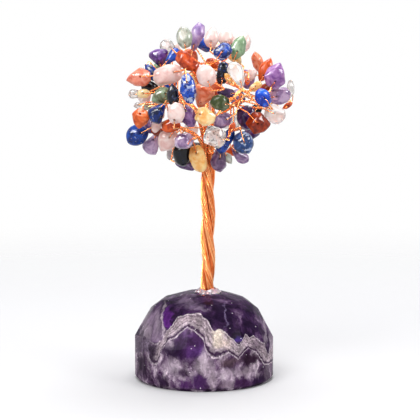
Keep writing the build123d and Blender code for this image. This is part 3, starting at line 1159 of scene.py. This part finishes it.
@dataclass(frozen=True)
class BoughReader:
    """Reads a bough's centre line back from the frame's solid, by the sizes of its rod."""

    least_edge_mm: float = 1.0
    spread_mm: float = 1.15

    def line(self, node: str) -> list[Vector]:
        """The corners of a bough's centre line.

        Args:
            node: the bough's node.

        Returns:
            The corners from its seat to its tip.
        """
        mesh = merged_copy(node)
        runs = straight_runs(list(mesh.verts), self.least_edge_mm * MM, self.spread_mm * MM)
        mesh.free()
        runs.sort(key=lambda run: min(run.start.z, run.end.z))
        corners: list[Vector] = []
        for run in runs:
            low, high = (run.start, run.end) if run.start.z < run.end.z else (run.end, run.start)
            corners += [high] if corners else [low, high]
        return corners


def strand_line(node: str) -> list[Vector]:
    """The centre line of a trunk strand, read from the level rings of its solid.

    Args:
        node: the strand's node.

    Returns:
        The middles of its rings from the foot up.
    """
    rings: dict[int, list[Vector]] = {}
    for vertex in frame["nodes"][node].data.vertices:
        rings.setdefault(round(vertex.co.z / (LEVEL_MM * MM)), []).append(vertex.co.copy())
    middles = []
    for level in sorted(rings):
        low = Vector(map(min, zip(*rings[level])))
        high = Vector(map(max, zip(*rings[level])))
        middles.append((low + high) / 2)
    return middles


@dataclass
class AmethystDome:
    """The base: one stone with hand-cut facets whose edges are a little worn."""

    node: str = "amethyst_base"
    body: str = "tree"
    edge_mm: float = 0.35
    edge_steps: int = 2
    same_facet_deg: float = 2.0
    cut_edge_deg: float = 7.0
    shaded_edge_deg: float = 12.0

    def build(self, material: bpy.types.Material) -> None:
        """Soften the dome's edges.

        Args:
            material: the banded amethyst.
        """
        dome = merged_copy(self.node)
        flat = math.radians(self.same_facet_deg)
        bmesh.ops.dissolve_limit(dome, angle_limit=flat, verts=dome.verts, edges=dome.edges)
        sharp = [edge for edge in dome.edges if edge.calc_face_angle(0.0) > math.radians(self.cut_edge_deg)]
        bmesh.ops.bevel(
            dome,
            geom=sharp,
            offset=self.edge_mm * MM,
            segments=self.edge_steps,
            profile=0.5,
            affect="EDGES",
            material=-1,
            clamp_overlap=True,
        )
        bmesh.ops.triangulate(dome, faces=[face for face in dome.faces if len(face.verts) > 4])
        mesh = kept_mesh(dome, self.node)
        piece = new_piece("amethyst_base_polished", mesh, material)
        mesh.set_sharp_from_angle(angle=math.radians(self.shaded_edge_deg))
        settle(piece, self.body, "amethyst_base", self.node)


@dataclass(frozen=True)
class Patch:
    """One coloured patch of the banded stone: its middle, its half sizes and how softly it ends."""

    across_mm: float
    up_mm: float
    wide_mm: float
    high_mm: float
    colour: str
    soft: float = 0.5
    weight: float = 1.0


@dataclass(frozen=True)
class Spread:
    """How a noise between two values becomes light between a dark and a bright share."""

    low: float
    high: float
    dark: float
    bright: float

    def of(self, source: Socket) -> dict[int, Any]:
        """The inputs that turn a noise into light."""
        return {0: source, 1: self.low, 2: self.high, 3: self.dark, 4: self.bright}


@dataclass(frozen=True)
class BandedAmethyst:
    """Chevron amethyst: near-black violet on top, a grey zigzag of thin layers, and milky clouds below it.

    The ramps run from dark to light, the layers from the zigzag's lower edge to its upper one. The edges and the
    patches are drawn on the dome's front, in millimetres across and up, with the first patch lowest.
    """

    half_width_mm: float = 26.0
    full_height_mm: float = 32.0
    top: tuple[tuple[float, str], ...] = (
        (0.29, "#140919"), (0.43, "#21132c"), (0.54, "#35203f"), (0.63, "#57415f"), (0.76, "#8f7e92"),
    )
    under: tuple[tuple[float, str], ...] = (
        (0.28, "#241429"), (0.42, "#3d2743"), (0.50, "#665069"), (0.60, "#a594a3"), (0.74, "#d8cad2"),
    )
    layers: tuple[tuple[float, str], ...] = (
        (0.0, "#d4c6ce"), (0.06, "#8f7e8c"), (0.12, "#3a2840"), (0.20, "#432f47"), (0.27, "#94848f"),
        (0.42, "#b3a3ab"), (0.49, "#6b5a68"), (0.56, "#a8989f"), (0.70, "#81717b"), (0.76, "#ac9ca4"),
        (0.92, "#6d5c69"), (1.0, "#d6c7cf"),
    )
    upper_mm: tuple[tuple[float, float], ...] = (
        (-26, 15), (-21, 17.5), (-17.5, 15.5), (-14.7, 17.3), (-13, 20.5), (-10.4, 23.1), (-9.2, 25.2), (-5.8, 26.2),
        (-1.3, 26.5), (1, 24.8), (3.5, 21.1), (5, 21.6), (7.1, 20.7), (10.5, 17.7), (12.4, 16.1), (14.7, 19.2),
        (16, 17.6), (17.4, 18.2), (21.3, 15), (22.6, 10.4), (26, 14),
    )
    lower_mm: tuple[tuple[float, float], ...] = (
        (-26, 9), (-20, 12.5), (-18, 8.5), (-16.3, 8.6), (-14.7, 14), (-12.6, 17.3), (-9.6, 18.6), (-5.8, 22.4),
        (-3.5, 21.2), (0.1, 18.1), (0.7, 15), (2.9, 12), (5.9, 12.3), (8.6, 14), (11.9, 10.9), (15.4, 14.8),
        (18.1, 12.6), (21.4, 7.2), (26, 6),
    )
    above_patches: tuple[Patch, ...] = (
        Patch(-17.6, 20.6, 4.4, 4.4, "#705f73", 0.4, 0.85),
        Patch(-20.2, 17.6, 1.4, 3.6, "#938492", 0.8, 0.7),
        Patch(-16.4, 22.4, 1.0, 3.0, "#8a7b8a", 0.8, 0.6),
        Patch(-12.4, 24.2, 1.6, 3.4, "#4e2266", 0.3),
        Patch(-14.2, 22.4, 0.45, 4.6, "#ab9ba8", 0.7, 0.8),
        Patch(-5.6, 29.4, 3.0, 1.2, "#6a5a70", 0.8, 0.7),
        Patch(-1.5, 27.9, 2.6, 0.6, "#7c6c80", 0.8, 0.6),
        Patch(7.4, 25.4, 0.25, 3.2, "#77678a", 0.8, 0.7),
        Patch(12.2, 17.4, 1.1, 0.9, "#3a2378", 0.8, 0.6),
        Patch(21.6, 19.0, 0.6, 3.2, "#9c8c9c", 0.8, 0.8),
        Patch(24.0, 13.0, 0.8, 4.0, "#a090a0", 0.8, 0.8),
    )
    band_patches: tuple[Patch, ...] = (
        Patch(5.2, 18.9, 1.8, 2.3, "#dccdbf", 0.6),
        Patch(7.0, 17.2, 2.6, 1.5, "#bcaaa2", 0.7, 0.8),
        Patch(18.5, 15.2, 2.2, 1.6, "#4a3a4a", 0.7, 0.7),
        Patch(-21.5, 13.2, 5.0, 5.5, "#57485c", 0.35, 0.92),
        Patch(-19.8, 14.6, 1.0, 2.6, "#85768a", 0.9, 0.7),
        Patch(-18.4, 11.8, 2.0, 2.8, "#2f2232", 0.6, 0.9),
    )
    below_patches: tuple[Patch, ...] = (
        Patch(-5.4, 16.6, 6.0, 4.6, "#432650", 0.35),
        Patch(-10.4, 14.4, 3.8, 2.8, "#20132a", 0.7, 0.9),
        Patch(-2.6, 14.2, 2.4, 1.8, "#4b2c64", 0.8, 0.7),
        Patch(-5.8, 20.4, 2.0, 1.4, "#6a4c7c", 0.8, 0.5),
        Patch(16.6, 11.0, 3.6, 2.6, "#2b1a2a", 0.5),
        Patch(9.0, 10.8, 3.2, 1.3, "#584450", 0.7),
        Patch(-10.6, 8.4, 2.8, 2.2, "#a696a4", 0.9, 0.85),
        Patch(-0.4, 9.4, 2.6, 2.6, "#ae9eaa", 0.9, 0.85),
        Patch(3.0, 4.6, 1.0, 4.6, "#9c8c98", 0.8, 0.75),
        Patch(8.6, 7.0, 3.4, 1.5, "#968694", 0.9, 0.85),
        Patch(14.8, 7.0, 2.6, 1.2, "#8f7f8b", 0.9, 0.8),
        Patch(-7.0, 6.2, 2.6, 1.9, "#35233a", 0.6, 0.9),
        Patch(-1.6, 3.6, 3.0, 2.4, "#422550", 0.5),
        Patch(-6.6, 2.0, 2.6, 1.6, "#42244f", 0.6),
        Patch(-14.4, 2.4, 1.8, 2.2, "#2a1a30", 0.7),
        Patch(13.4, 2.6, 3.4, 1.8, "#402448", 0.6),
        Patch(19.0, 2.4, 2.6, 2.0, "#301b3c", 0.6),
        Patch(-21.4, 7.4, 2.4, 4.0, "#291c2c", 0.8, 0.85),
        Patch(7.6, 2.6, 2.0, 1.4, "#7c6b78", 0.9, 0.7),
        Patch(22.6, 5.0, 1.8, 4.0, "#38283c", 0.8, 0.8),
    )
    edge_rag_mm: float = 1.6
    edge_rag_size_mm: float = 2.2
    cloud_rag_mm: float = 6.5
    cloud_rag_size_mm: float = 5.0
    wisp_mm: float = 6.0
    cloud_mm: float = 4.0
    cloud_squeeze: tuple[float, float, float] = (1.0, 1.0, 0.5)
    streak_mm: float = 1.5
    streak_squeeze: tuple[float, float, float] = (1.0, 1.0, 0.22)
    cloud_light: Spread = Spread(0.35, 0.65, 0.72, 1.18)
    streak_light: Spread = Spread(0.36, 0.64, 0.66, 1.42)
    sand_light: Spread = Spread(0.38, 0.6, 0.6, 1.16)
    band_foot: tuple[float, float] = (-0.03, 0.03)
    band_head: tuple[float, float] = (0.98, 1.03)
    grit_mm: float = 0.9
    grit_reach: float = 0.2
    sand_mm: float = 0.7
    speck_mm: float = 2.6
    speck_share: float = 0.065
    speck: str = "#e6dde4"
    roughness: float = 0.25
    gloss: float = 0.012

    def material(self) -> bpy.types.Material:
        """The stone's material, with its pattern running straight through from front to back."""
        material, tree, shader = new_material("chevron_amethyst")
        place = add_node(tree, "TexCoord").outputs["Object"]
        loose = self.pushed(tree, place, self.cloud_rag_size_mm, self.cloud_rag_mm)
        stretch = add_node(tree, "VectorMath", {0: loose, 1: self.cloud_squeeze}, operation="MULTIPLY").outputs[0]
        clouds = add_node(
            tree, "TexNoise", {"Vector": stretch, "Scale": 1 / (self.cloud_mm * MM), "Detail": 9.0, "Roughness": 0.62}
        ).outputs["Fac"]
        colour = self.zones(tree, place, loose, clouds)
        colour = self.shaded(tree, loose, clouds, colour)
        grain = add_node(tree, "TexVoronoi", {"Vector": place, "Scale": 1 / (self.speck_mm * MM)}).outputs["Distance"]
        speck = add_node(tree, "Math", {0: grain, 1: self.speck_share}, operation="LESS_THAN").outputs[0]
        dusted = add_node(tree, "Mix", {0: speck, 6: colour, 7: linear(self.speck)}, data_type="RGBA")
        feed(tree, shader, {
            "Base Color": dusted.outputs[2],
            "Roughness": self.roughness,
            "IOR": QUARTZ_IOR,
            "Specular IOR Level": self.gloss,
        })
        return material

    def zones(self, tree: Tree, place: Socket, loose: Socket, clouds: Socket) -> Socket:
        """The dark top, the layered zigzag and the milky foot of the stone.

        Args:
            tree: the material's tree.
            place: the place.
            loose: the place, pushed far about.
            clouds: the clouds of the foot, from 0 to 1.

        Returns:
            The colour.
        """
        crisp = self.pushed(tree, place, self.edge_rag_size_mm, self.edge_rag_mm)
        parts = add_node(tree, "SeparateXYZ", {0: crisp})
        high, low = (self.edge_line(tree, parts.outputs["X"], edge) for edge in (self.upper_mm, self.lower_mm))
        layer = add_node(tree, "MapRange", {0: parts.outputs["Z"], 1: low, 2: high}, clamp=False).outputs[0]
        wisps = add_node(
            tree, "TexNoise", {"Vector": loose, "Scale": 1 / (self.wisp_mm * MM), "Detail": 9.0, "Roughness": 0.62}
        ).outputs["Fac"]
        above = set_ramp(add_node(tree, "ValToRGB", {0: wisps}), self.top).outputs[0]
        above = self.patched(tree, loose, above, self.above_patches)
        below = set_ramp(add_node(tree, "ValToRGB", {0: clouds}), self.under).outputs[0]
        below = self.patched(tree, loose, below, self.below_patches)
        band = self.band(tree, place, loose, layer)
        into, out_of = (
            add_node(tree, "MapRange", {0: layer, 1: start, 2: end}, interpolation_type="SMOOTHSTEP").outputs[0]
            for start, end in (self.band_foot, self.band_head)
        )
        lower = add_node(tree, "Mix", {0: into, 6: below, 7: band}, data_type="RGBA").outputs[2]
        return add_node(tree, "Mix", {0: out_of, 6: lower, 7: above}, data_type="RGBA").outputs[2]

    def band(self, tree: Tree, place: Socket, loose: Socket, layer: Socket) -> Socket:
        """The thin gritty layers of the zigzag.

        Args:
            tree: the material's tree.
            place: the place.
            loose: the place, pushed far about.
            layer: the height in the band, from 0 at its lower edge to 1 at its upper one.

        Returns:
            The colour.
        """
        grit = add_node(tree, "TexNoise", {"Vector": place, "Scale": 1 / (self.grit_mm * MM), "Detail": 4.0})
        centred = {0: grit.outputs["Fac"], 1: self.grit_reach, 2: -self.grit_reach / 2}
        jitter = add_node(tree, "Math", centred, operation="MULTIPLY_ADD").outputs[0]
        shaken = add_node(tree, "Math", {0: layer, 1: jitter}, operation="ADD").outputs[0]
        colour = set_ramp(add_node(tree, "ValToRGB", {0: shaken}), self.layers).outputs[0]
        colour = self.patched(tree, loose, colour, self.band_patches)
        sand = add_node(
            tree, "TexNoise", {"Vector": place, "Scale": 1 / (self.sand_mm * MM), "Detail": 5.0, "Roughness": 0.7}
        ).outputs["Fac"]
        dapple = add_node(tree, "MapRange", self.sand_light.of(sand)).outputs[0]
        return add_node(tree, "VectorMath", {0: colour, "Scale": dapple}, operation="SCALE").outputs[0]

    def shaded(self, tree: Tree, loose: Socket, clouds: Socket, colour: Socket) -> Socket:
        """Depth from the clouds and upright streaks over a colour.

        Args:
            tree: the material's tree.
            loose: the place, pushed far about.
            clouds: the clouds, from 0 to 1.
            colour: the colour so far.

        Returns:
            The new colour.
        """
        depth = add_node(tree, "MapRange", self.cloud_light.of(clouds)).outputs[0]
        fibre = add_node(tree, "VectorMath", {0: loose, 1: self.streak_squeeze}, operation="MULTIPLY").outputs[0]
        streaks = add_node(
            tree, "TexNoise", {"Vector": fibre, "Scale": 1 / (self.streak_mm * MM), "Detail": 6.0, "Roughness": 0.6}
        ).outputs["Fac"]
        comb = add_node(tree, "MapRange", self.streak_light.of(streaks)).outputs[0]
        light = add_node(tree, "Math", {0: depth, 1: comb}, operation="MULTIPLY").outputs[0]
        return add_node(tree, "VectorMath", {0: colour, "Scale": light}, operation="SCALE").outputs[0]

    def pushed(self, tree: Tree, place: Socket, size_mm: float, reach_mm: float) -> Socket:
        """A place pushed about by noise, so that what is drawn there gets ragged edges.

        Args:
            tree: the material's tree.
            place: the place.
            size_mm: the size of the rags.
            reach_mm: how far the noise pushes from end to end.

        Returns:
            The pushed place.
        """
        rag = add_node(
            tree, "TexNoise", {"Vector": place, "Scale": 1 / (size_mm * MM), "Detail": 6.0, "Roughness": 0.6}
        ).outputs["Color"]
        centred = add_node(tree, "VectorMath", {0: rag, 1: (-0.5, -0.5, -0.5)}, operation="ADD").outputs[0]
        reach = (reach_mm * MM,) * 3
        return add_node(tree, "VectorMath", {0: centred, 1: reach, 2: place}, operation="MULTIPLY_ADD").outputs[0]

    def edge_line(self, tree: Tree, across: Socket, points: Sequence[tuple[float, float]]) -> Socket:
        """The height of a zigzag edge at each place across the dome.

        Args:
            tree: the material's tree.
            across: the place across, in metres.
            points: corners of the edge, across and up.

        Returns:
            The height in metres.
        """
        half = self.half_width_mm * MM
        share = add_node(tree, "MapRange", {0: across, 1: -half, 2: half})
        line = add_node(tree, "FloatCurve", {"Value": share.outputs[0]})
        curve = line.mapping.curves[0]
        spots = [((x + self.half_width_mm) / (2 * self.half_width_mm), z / self.full_height_mm) for x, z in points]
        curve.points[0].location, curve.points[1].location = spots[0], spots[-1]
        for spot in spots[1:-1]:
            curve.points.new(*spot)
        for point in curve.points:
            point.handle_type = "VECTOR"
        line.mapping.update()
        height = {0: line.outputs[0], 1: self.full_height_mm * MM}
        return add_node(tree, "Math", height, operation="MULTIPLY").outputs[0]

    def patched(self, tree: Tree, place: Socket, colour: Socket, patches: Sequence[Patch]) -> Socket:
        """Lay soft patches of colour over a colour.

        Args:
            tree: the material's tree.
            place: the pushed place.
            colour: the colour so far.
            patches: the patches, the first one lowest.

        Returns:
            The new colour.
        """
        for patch in patches:
            scale = (1 / (patch.wide_mm * MM), 0.0, 1 / (patch.high_mm * MM))
            back = (-patch.across_mm / patch.wide_mm, 0.0, -patch.up_mm / patch.high_mm)
            local = add_node(tree, "VectorMath", {0: place, 1: scale, 2: back}, operation="MULTIPLY_ADD").outputs[0]
            away = add_node(tree, "VectorMath", {0: local}, operation="LENGTH").outputs["Value"]
            fade = {0: away, 1: 1 + patch.soft, 2: 1 - patch.soft, 4: patch.weight}
            mask = add_node(tree, "MapRange", fade, interpolation_type="SMOOTHSTEP").outputs[0]
            cover = {0: mask, 6: colour, 7: linear(patch.colour)}
            colour = add_node(tree, "Mix", cover, data_type="RGBA").outputs[2]
        return colour


@dataclass(frozen=True)
class MilkyGlue:
    """Clear hot glue gone milky: wet lumps that let the violet stone show through, whitish where they are thick."""

    dark: tuple[float, str] = (0.3, "#b79cb0")
    pale: tuple[float, str] = (0.7, "#f0e0e4")
    cloud_mm: float = 2.0
    roughness: float = 0.1
    clear: float = 0.65
    milky: float = 0.3
    milky_mm: float = 1.0

    def material(self) -> bpy.types.Material:
        """The glue's material."""
        material, tree, shader = new_material("milky_glue")
        place = add_node(tree, "TexCoord").outputs["Object"]
        cloud = add_node(tree, "TexNoise", {"Vector": place, "Scale": 1 / (self.cloud_mm * MM), "Detail": 3.0})
        ramp = set_ramp(add_node(tree, "ValToRGB", {0: cloud.outputs["Fac"]}), [self.dark, self.pale])
        feed(tree, shader, {
            "Base Color": ramp.outputs[0],
            "Roughness": self.roughness,
            "Transmission Weight": self.clear,
            "Subsurface Weight": self.milky,
            "Subsurface Scale": self.milky_mm * MM,
        })
        return material


@dataclass
class GlueBead:
    """The lumpy bead of glue round the trunk's foot."""

    node: str = "glue_bead"
    body: str = "tree"
    voxel_mm: float = 0.25
    smooth_steps: int = 6
    lump_mm: float = 0.7
    lump_size_mm: float = 1.9
    lump_sink: float = 0.25

    def build(self, material: bpy.types.Material) -> None:
        """Make the bead lumpy and dress it.

        Args:
            material: the glue.
        """
        mesh = evened(kept_mesh(merged_copy(self.node), self.node), self.voxel_mm)
        work = bmesh.new()
        work.from_mesh(mesh)
        wear(work, self.smooth_steps)
        work.normal_update()
        for vertex in work.verts:
            swell = noise.noise(vertex.co / (self.lump_size_mm * MM)) - self.lump_sink
            vertex.co += vertex.normal * swell * self.lump_mm * MM
        work.to_mesh(mesh)
        work.free()
        piece = new_piece("glue_bead_lumpy", mesh, material)
        settle(piece, self.body, "clear_glue", self.node)


@dataclass(frozen=True)
class Lamp:
    """One soft square lamp: its place and side in metres and its power in watts.

    One that is mirrored_only shows as a highlight on the stones and lights nothing else.
    """

    name: str
    place: tuple[float, float, float]
    size: float
    power: float
    mirrored_only: bool = False


@dataclass
class Studio:
    """The pale floor, the soft light and the camera at the photograph's place."""

    distance: float = 0.55
    camera_height: float = 0.127
    aim: tuple[float, float, float] = (0.00215, 0.0, 0.0609)
    view_width: float = 0.1505
    sensor_mm: float = 36.0
    paper: str = "#c4c4c6"
    floor_near: float = 0.12
    floor_far: float = 0.45
    room: str = "#ffffff"
    room_light: float = 0.38
    room_mirrored: float = 1.0
    lamp_aim: tuple[float, float, float] = (0.0, 0.0, 0.08)
    lamps: tuple[Lamp, ...] = (
        Lamp("key_lamp", (-0.35, -0.75, 0.85), 0.75, 11.0),
        Lamp("fill_lamp", (0.75, -0.5, 0.5), 0.4, 3.0),
        Lamp("top_lamp", (0.05, 0.15, 0.9), 0.5, 8.0),
        Lamp("left_sheen", (-0.75, -0.7, 0.75), 0.55, 24.0, mirrored_only=True),
        Lamp("right_sheen", (0.85, -0.45, 0.6), 0.45, 12.0, mirrored_only=True),
    )

    def build(self) -> None:
        """Set the whole stage."""
        self.floor()
        self.light_room()
        for lamp in self.lamps:
            self.hang(lamp)
        self.camera()

    def floor(self) -> None:
        """A floor of matt white paper that keeps the object's shadow and fades into the white room."""
        material = bpy.data.materials.new("studio_paper")
        material.use_nodes = True
        tree = material.node_tree
        tree.nodes.clear()
        place = add_node(tree, "TexCoord").outputs["Object"]
        away = add_node(tree, "VectorMath", {0: place}, operation="LENGTH").outputs["Value"]
        reach = {0: away, 1: self.floor_near, 2: self.floor_far}
        fade = add_node(tree, "MapRange", reach, interpolation_type="SMOOTHSTEP")
        paper = add_node(tree, "BsdfDiffuse", {"Color": linear(self.paper)})
        clear = add_node(tree, "BsdfTransparent")
        both = add_node(tree, "MixShader", {0: fade.outputs[0], 1: paper.outputs[0], 2: clear.outputs[0]})
        add_node(tree, "OutputMaterial", {"Surface": both.outputs[0]})
        work = bmesh.new()
        bmesh.ops.create_grid(work, x_segments=1, y_segments=1, size=self.floor_far)
        mesh = kept_mesh(work, "studio_floor")
        mesh.materials.append(material)
        floor = bpy.data.objects.new("studio_floor", mesh)
        bpy.context.scene.collection.objects.link(floor)

    def light_room(self) -> None:
        """A white room that shows white to the camera, through glass and in metal, and lights the stones less."""
        world = bpy.data.worlds.new("studio")
        bpy.context.scene.world = world
        world.use_nodes = True
        tree = world.node_tree
        tree.nodes.clear()
        path = add_node(tree, "LightPath").outputs
        shown = add_node(tree, "Math", {0: path["Is Camera Ray"], 1: path["Is Transmission Ray"]}, operation="MAXIMUM")
        mirrored = add_node(tree, "MapRange", {0: path["Is Glossy Ray"], 3: self.room_light, 4: self.room_mirrored})
        strength = add_node(tree, "MapRange", {0: shown.outputs[0], 3: mirrored.outputs[0], 4: 1.0})
        room = add_node(tree, "Background", {"Color": linear(self.room), "Strength": strength.outputs[0]})
        add_node(tree, "OutputWorld", {"Surface": room.outputs[0]})

    def hang(self, row: Lamp) -> None:
        """Hang one lamp so that it points at the foot of the crown.

        Args:
            row: the lamp.
        """
        data = bpy.data.lights.new(row.name, "AREA")
        data.size = row.size
        data.energy = row.power
        lamp = bpy.data.objects.new(row.name, data)
        lamp.location = row.place
        lamp.rotation_euler = (Vector(self.lamp_aim) - Vector(row.place)).to_track_quat("-Z", "Y").to_euler()
        lamp.visible_diffuse = not row.mirrored_only
        lamp.visible_transmission = not row.mirrored_only
        bpy.context.scene.collection.objects.link(lamp)

    def camera(self) -> None:
        """The camera at the photograph's viewing angle."""
        data = bpy.data.cameras.new("photograph_view")
        data.sensor_width = self.sensor_mm
        place = Vector((self.aim[0], -self.distance, self.camera_height))
        way = Vector(self.aim) - place
        data.lens = self.sensor_mm * way.length / self.view_width
        camera = bpy.data.objects.new("photograph_view", data)
        camera.location = place
        camera.rotation_euler = way.to_track_quat("-Z", "Y").to_euler()
        bpy.context.scene.collection.objects.link(camera)
        bpy.context.scene.camera = camera
        bpy.context.scene.view_settings.view_transform = "Standard"


def build_crown(copper: bpy.types.Material) -> None:
    """Build the chips and the twigs that carry them.

    Args:
        copper: the wire's finish.
    """
    record = frame["record"]
    slots = {row["node"]: row["material_slot"] for row in record["subparts"]}
    bodies = {node: body for body, nodes in record["behaviour"]["bodies"].items() for node in nodes}
    stones = {stone.value: stone for stone in Stone}
    materials = {stone: FINISHES[stone].material() for stone in Stone}
    loose_materials = {node: finish.material() for node, finish in LOOSE_FINISHES.items()}
    twig_nodes = sorted(node for node in frame["nodes"] if node.endswith("_twigs"))
    twigs = {node: TwigReader().read(node) for node in twig_nodes}
    all_twigs = [twig for group in twigs.values() for twig in group]
    clusters = []
    for node in sorted(frame["nodes"]):
        stone = stones.get(slots[node])
        if stone:
            plump = WEDGED_PLUMP if node.endswith("_chips") else LOOSE_PLUMP
            cluster = ChipCluster(node, bodies[node], stone, ROUNDER.get(node, TUMBLED), plump)
            cluster.build(loose_materials.get(node, materials[stone]), all_twigs)
            clusters.append(cluster)
    for node in twig_nodes:
        bough = BoughReader().line(node.replace("twigs", "bough"))
        TwigSpray(node, bough).build(copper, twigs[node], clusters)


def build_bundles(copper: bpy.types.Material) -> None:
    """Wind the boughs and the strands of the trunk.

    Args:
        copper: the wire's finish.
    """
    for node in sorted(frame["nodes"]):
        if node.endswith("_bough"):
            line = BoughReader().line(node)
            WireBundle(node, line, radius_mm=0.62, wires=9, wire_mm=0.18, lay_mm=8.0).build(copper)
        if node.startswith("trunk_strand"):
            line = strand_line(node)
            WireBundle(node, line, radius_mm=1.2, wires=13, wire_mm=0.2, lay_mm=30.0).build(copper)


def main() -> None:
    """Build every sub-assembly in order."""
    logging.basicConfig(level=logging.INFO, format="%(message)s")
    Studio().build()
    AmethystDome().build(BandedAmethyst().material())
    GlueBead().build(MilkyGlue().material())
    copper = CopperFinish().material()
    build_crown(copper)
    build_bundles(copper)


if __name__ == "__main__":
    main()
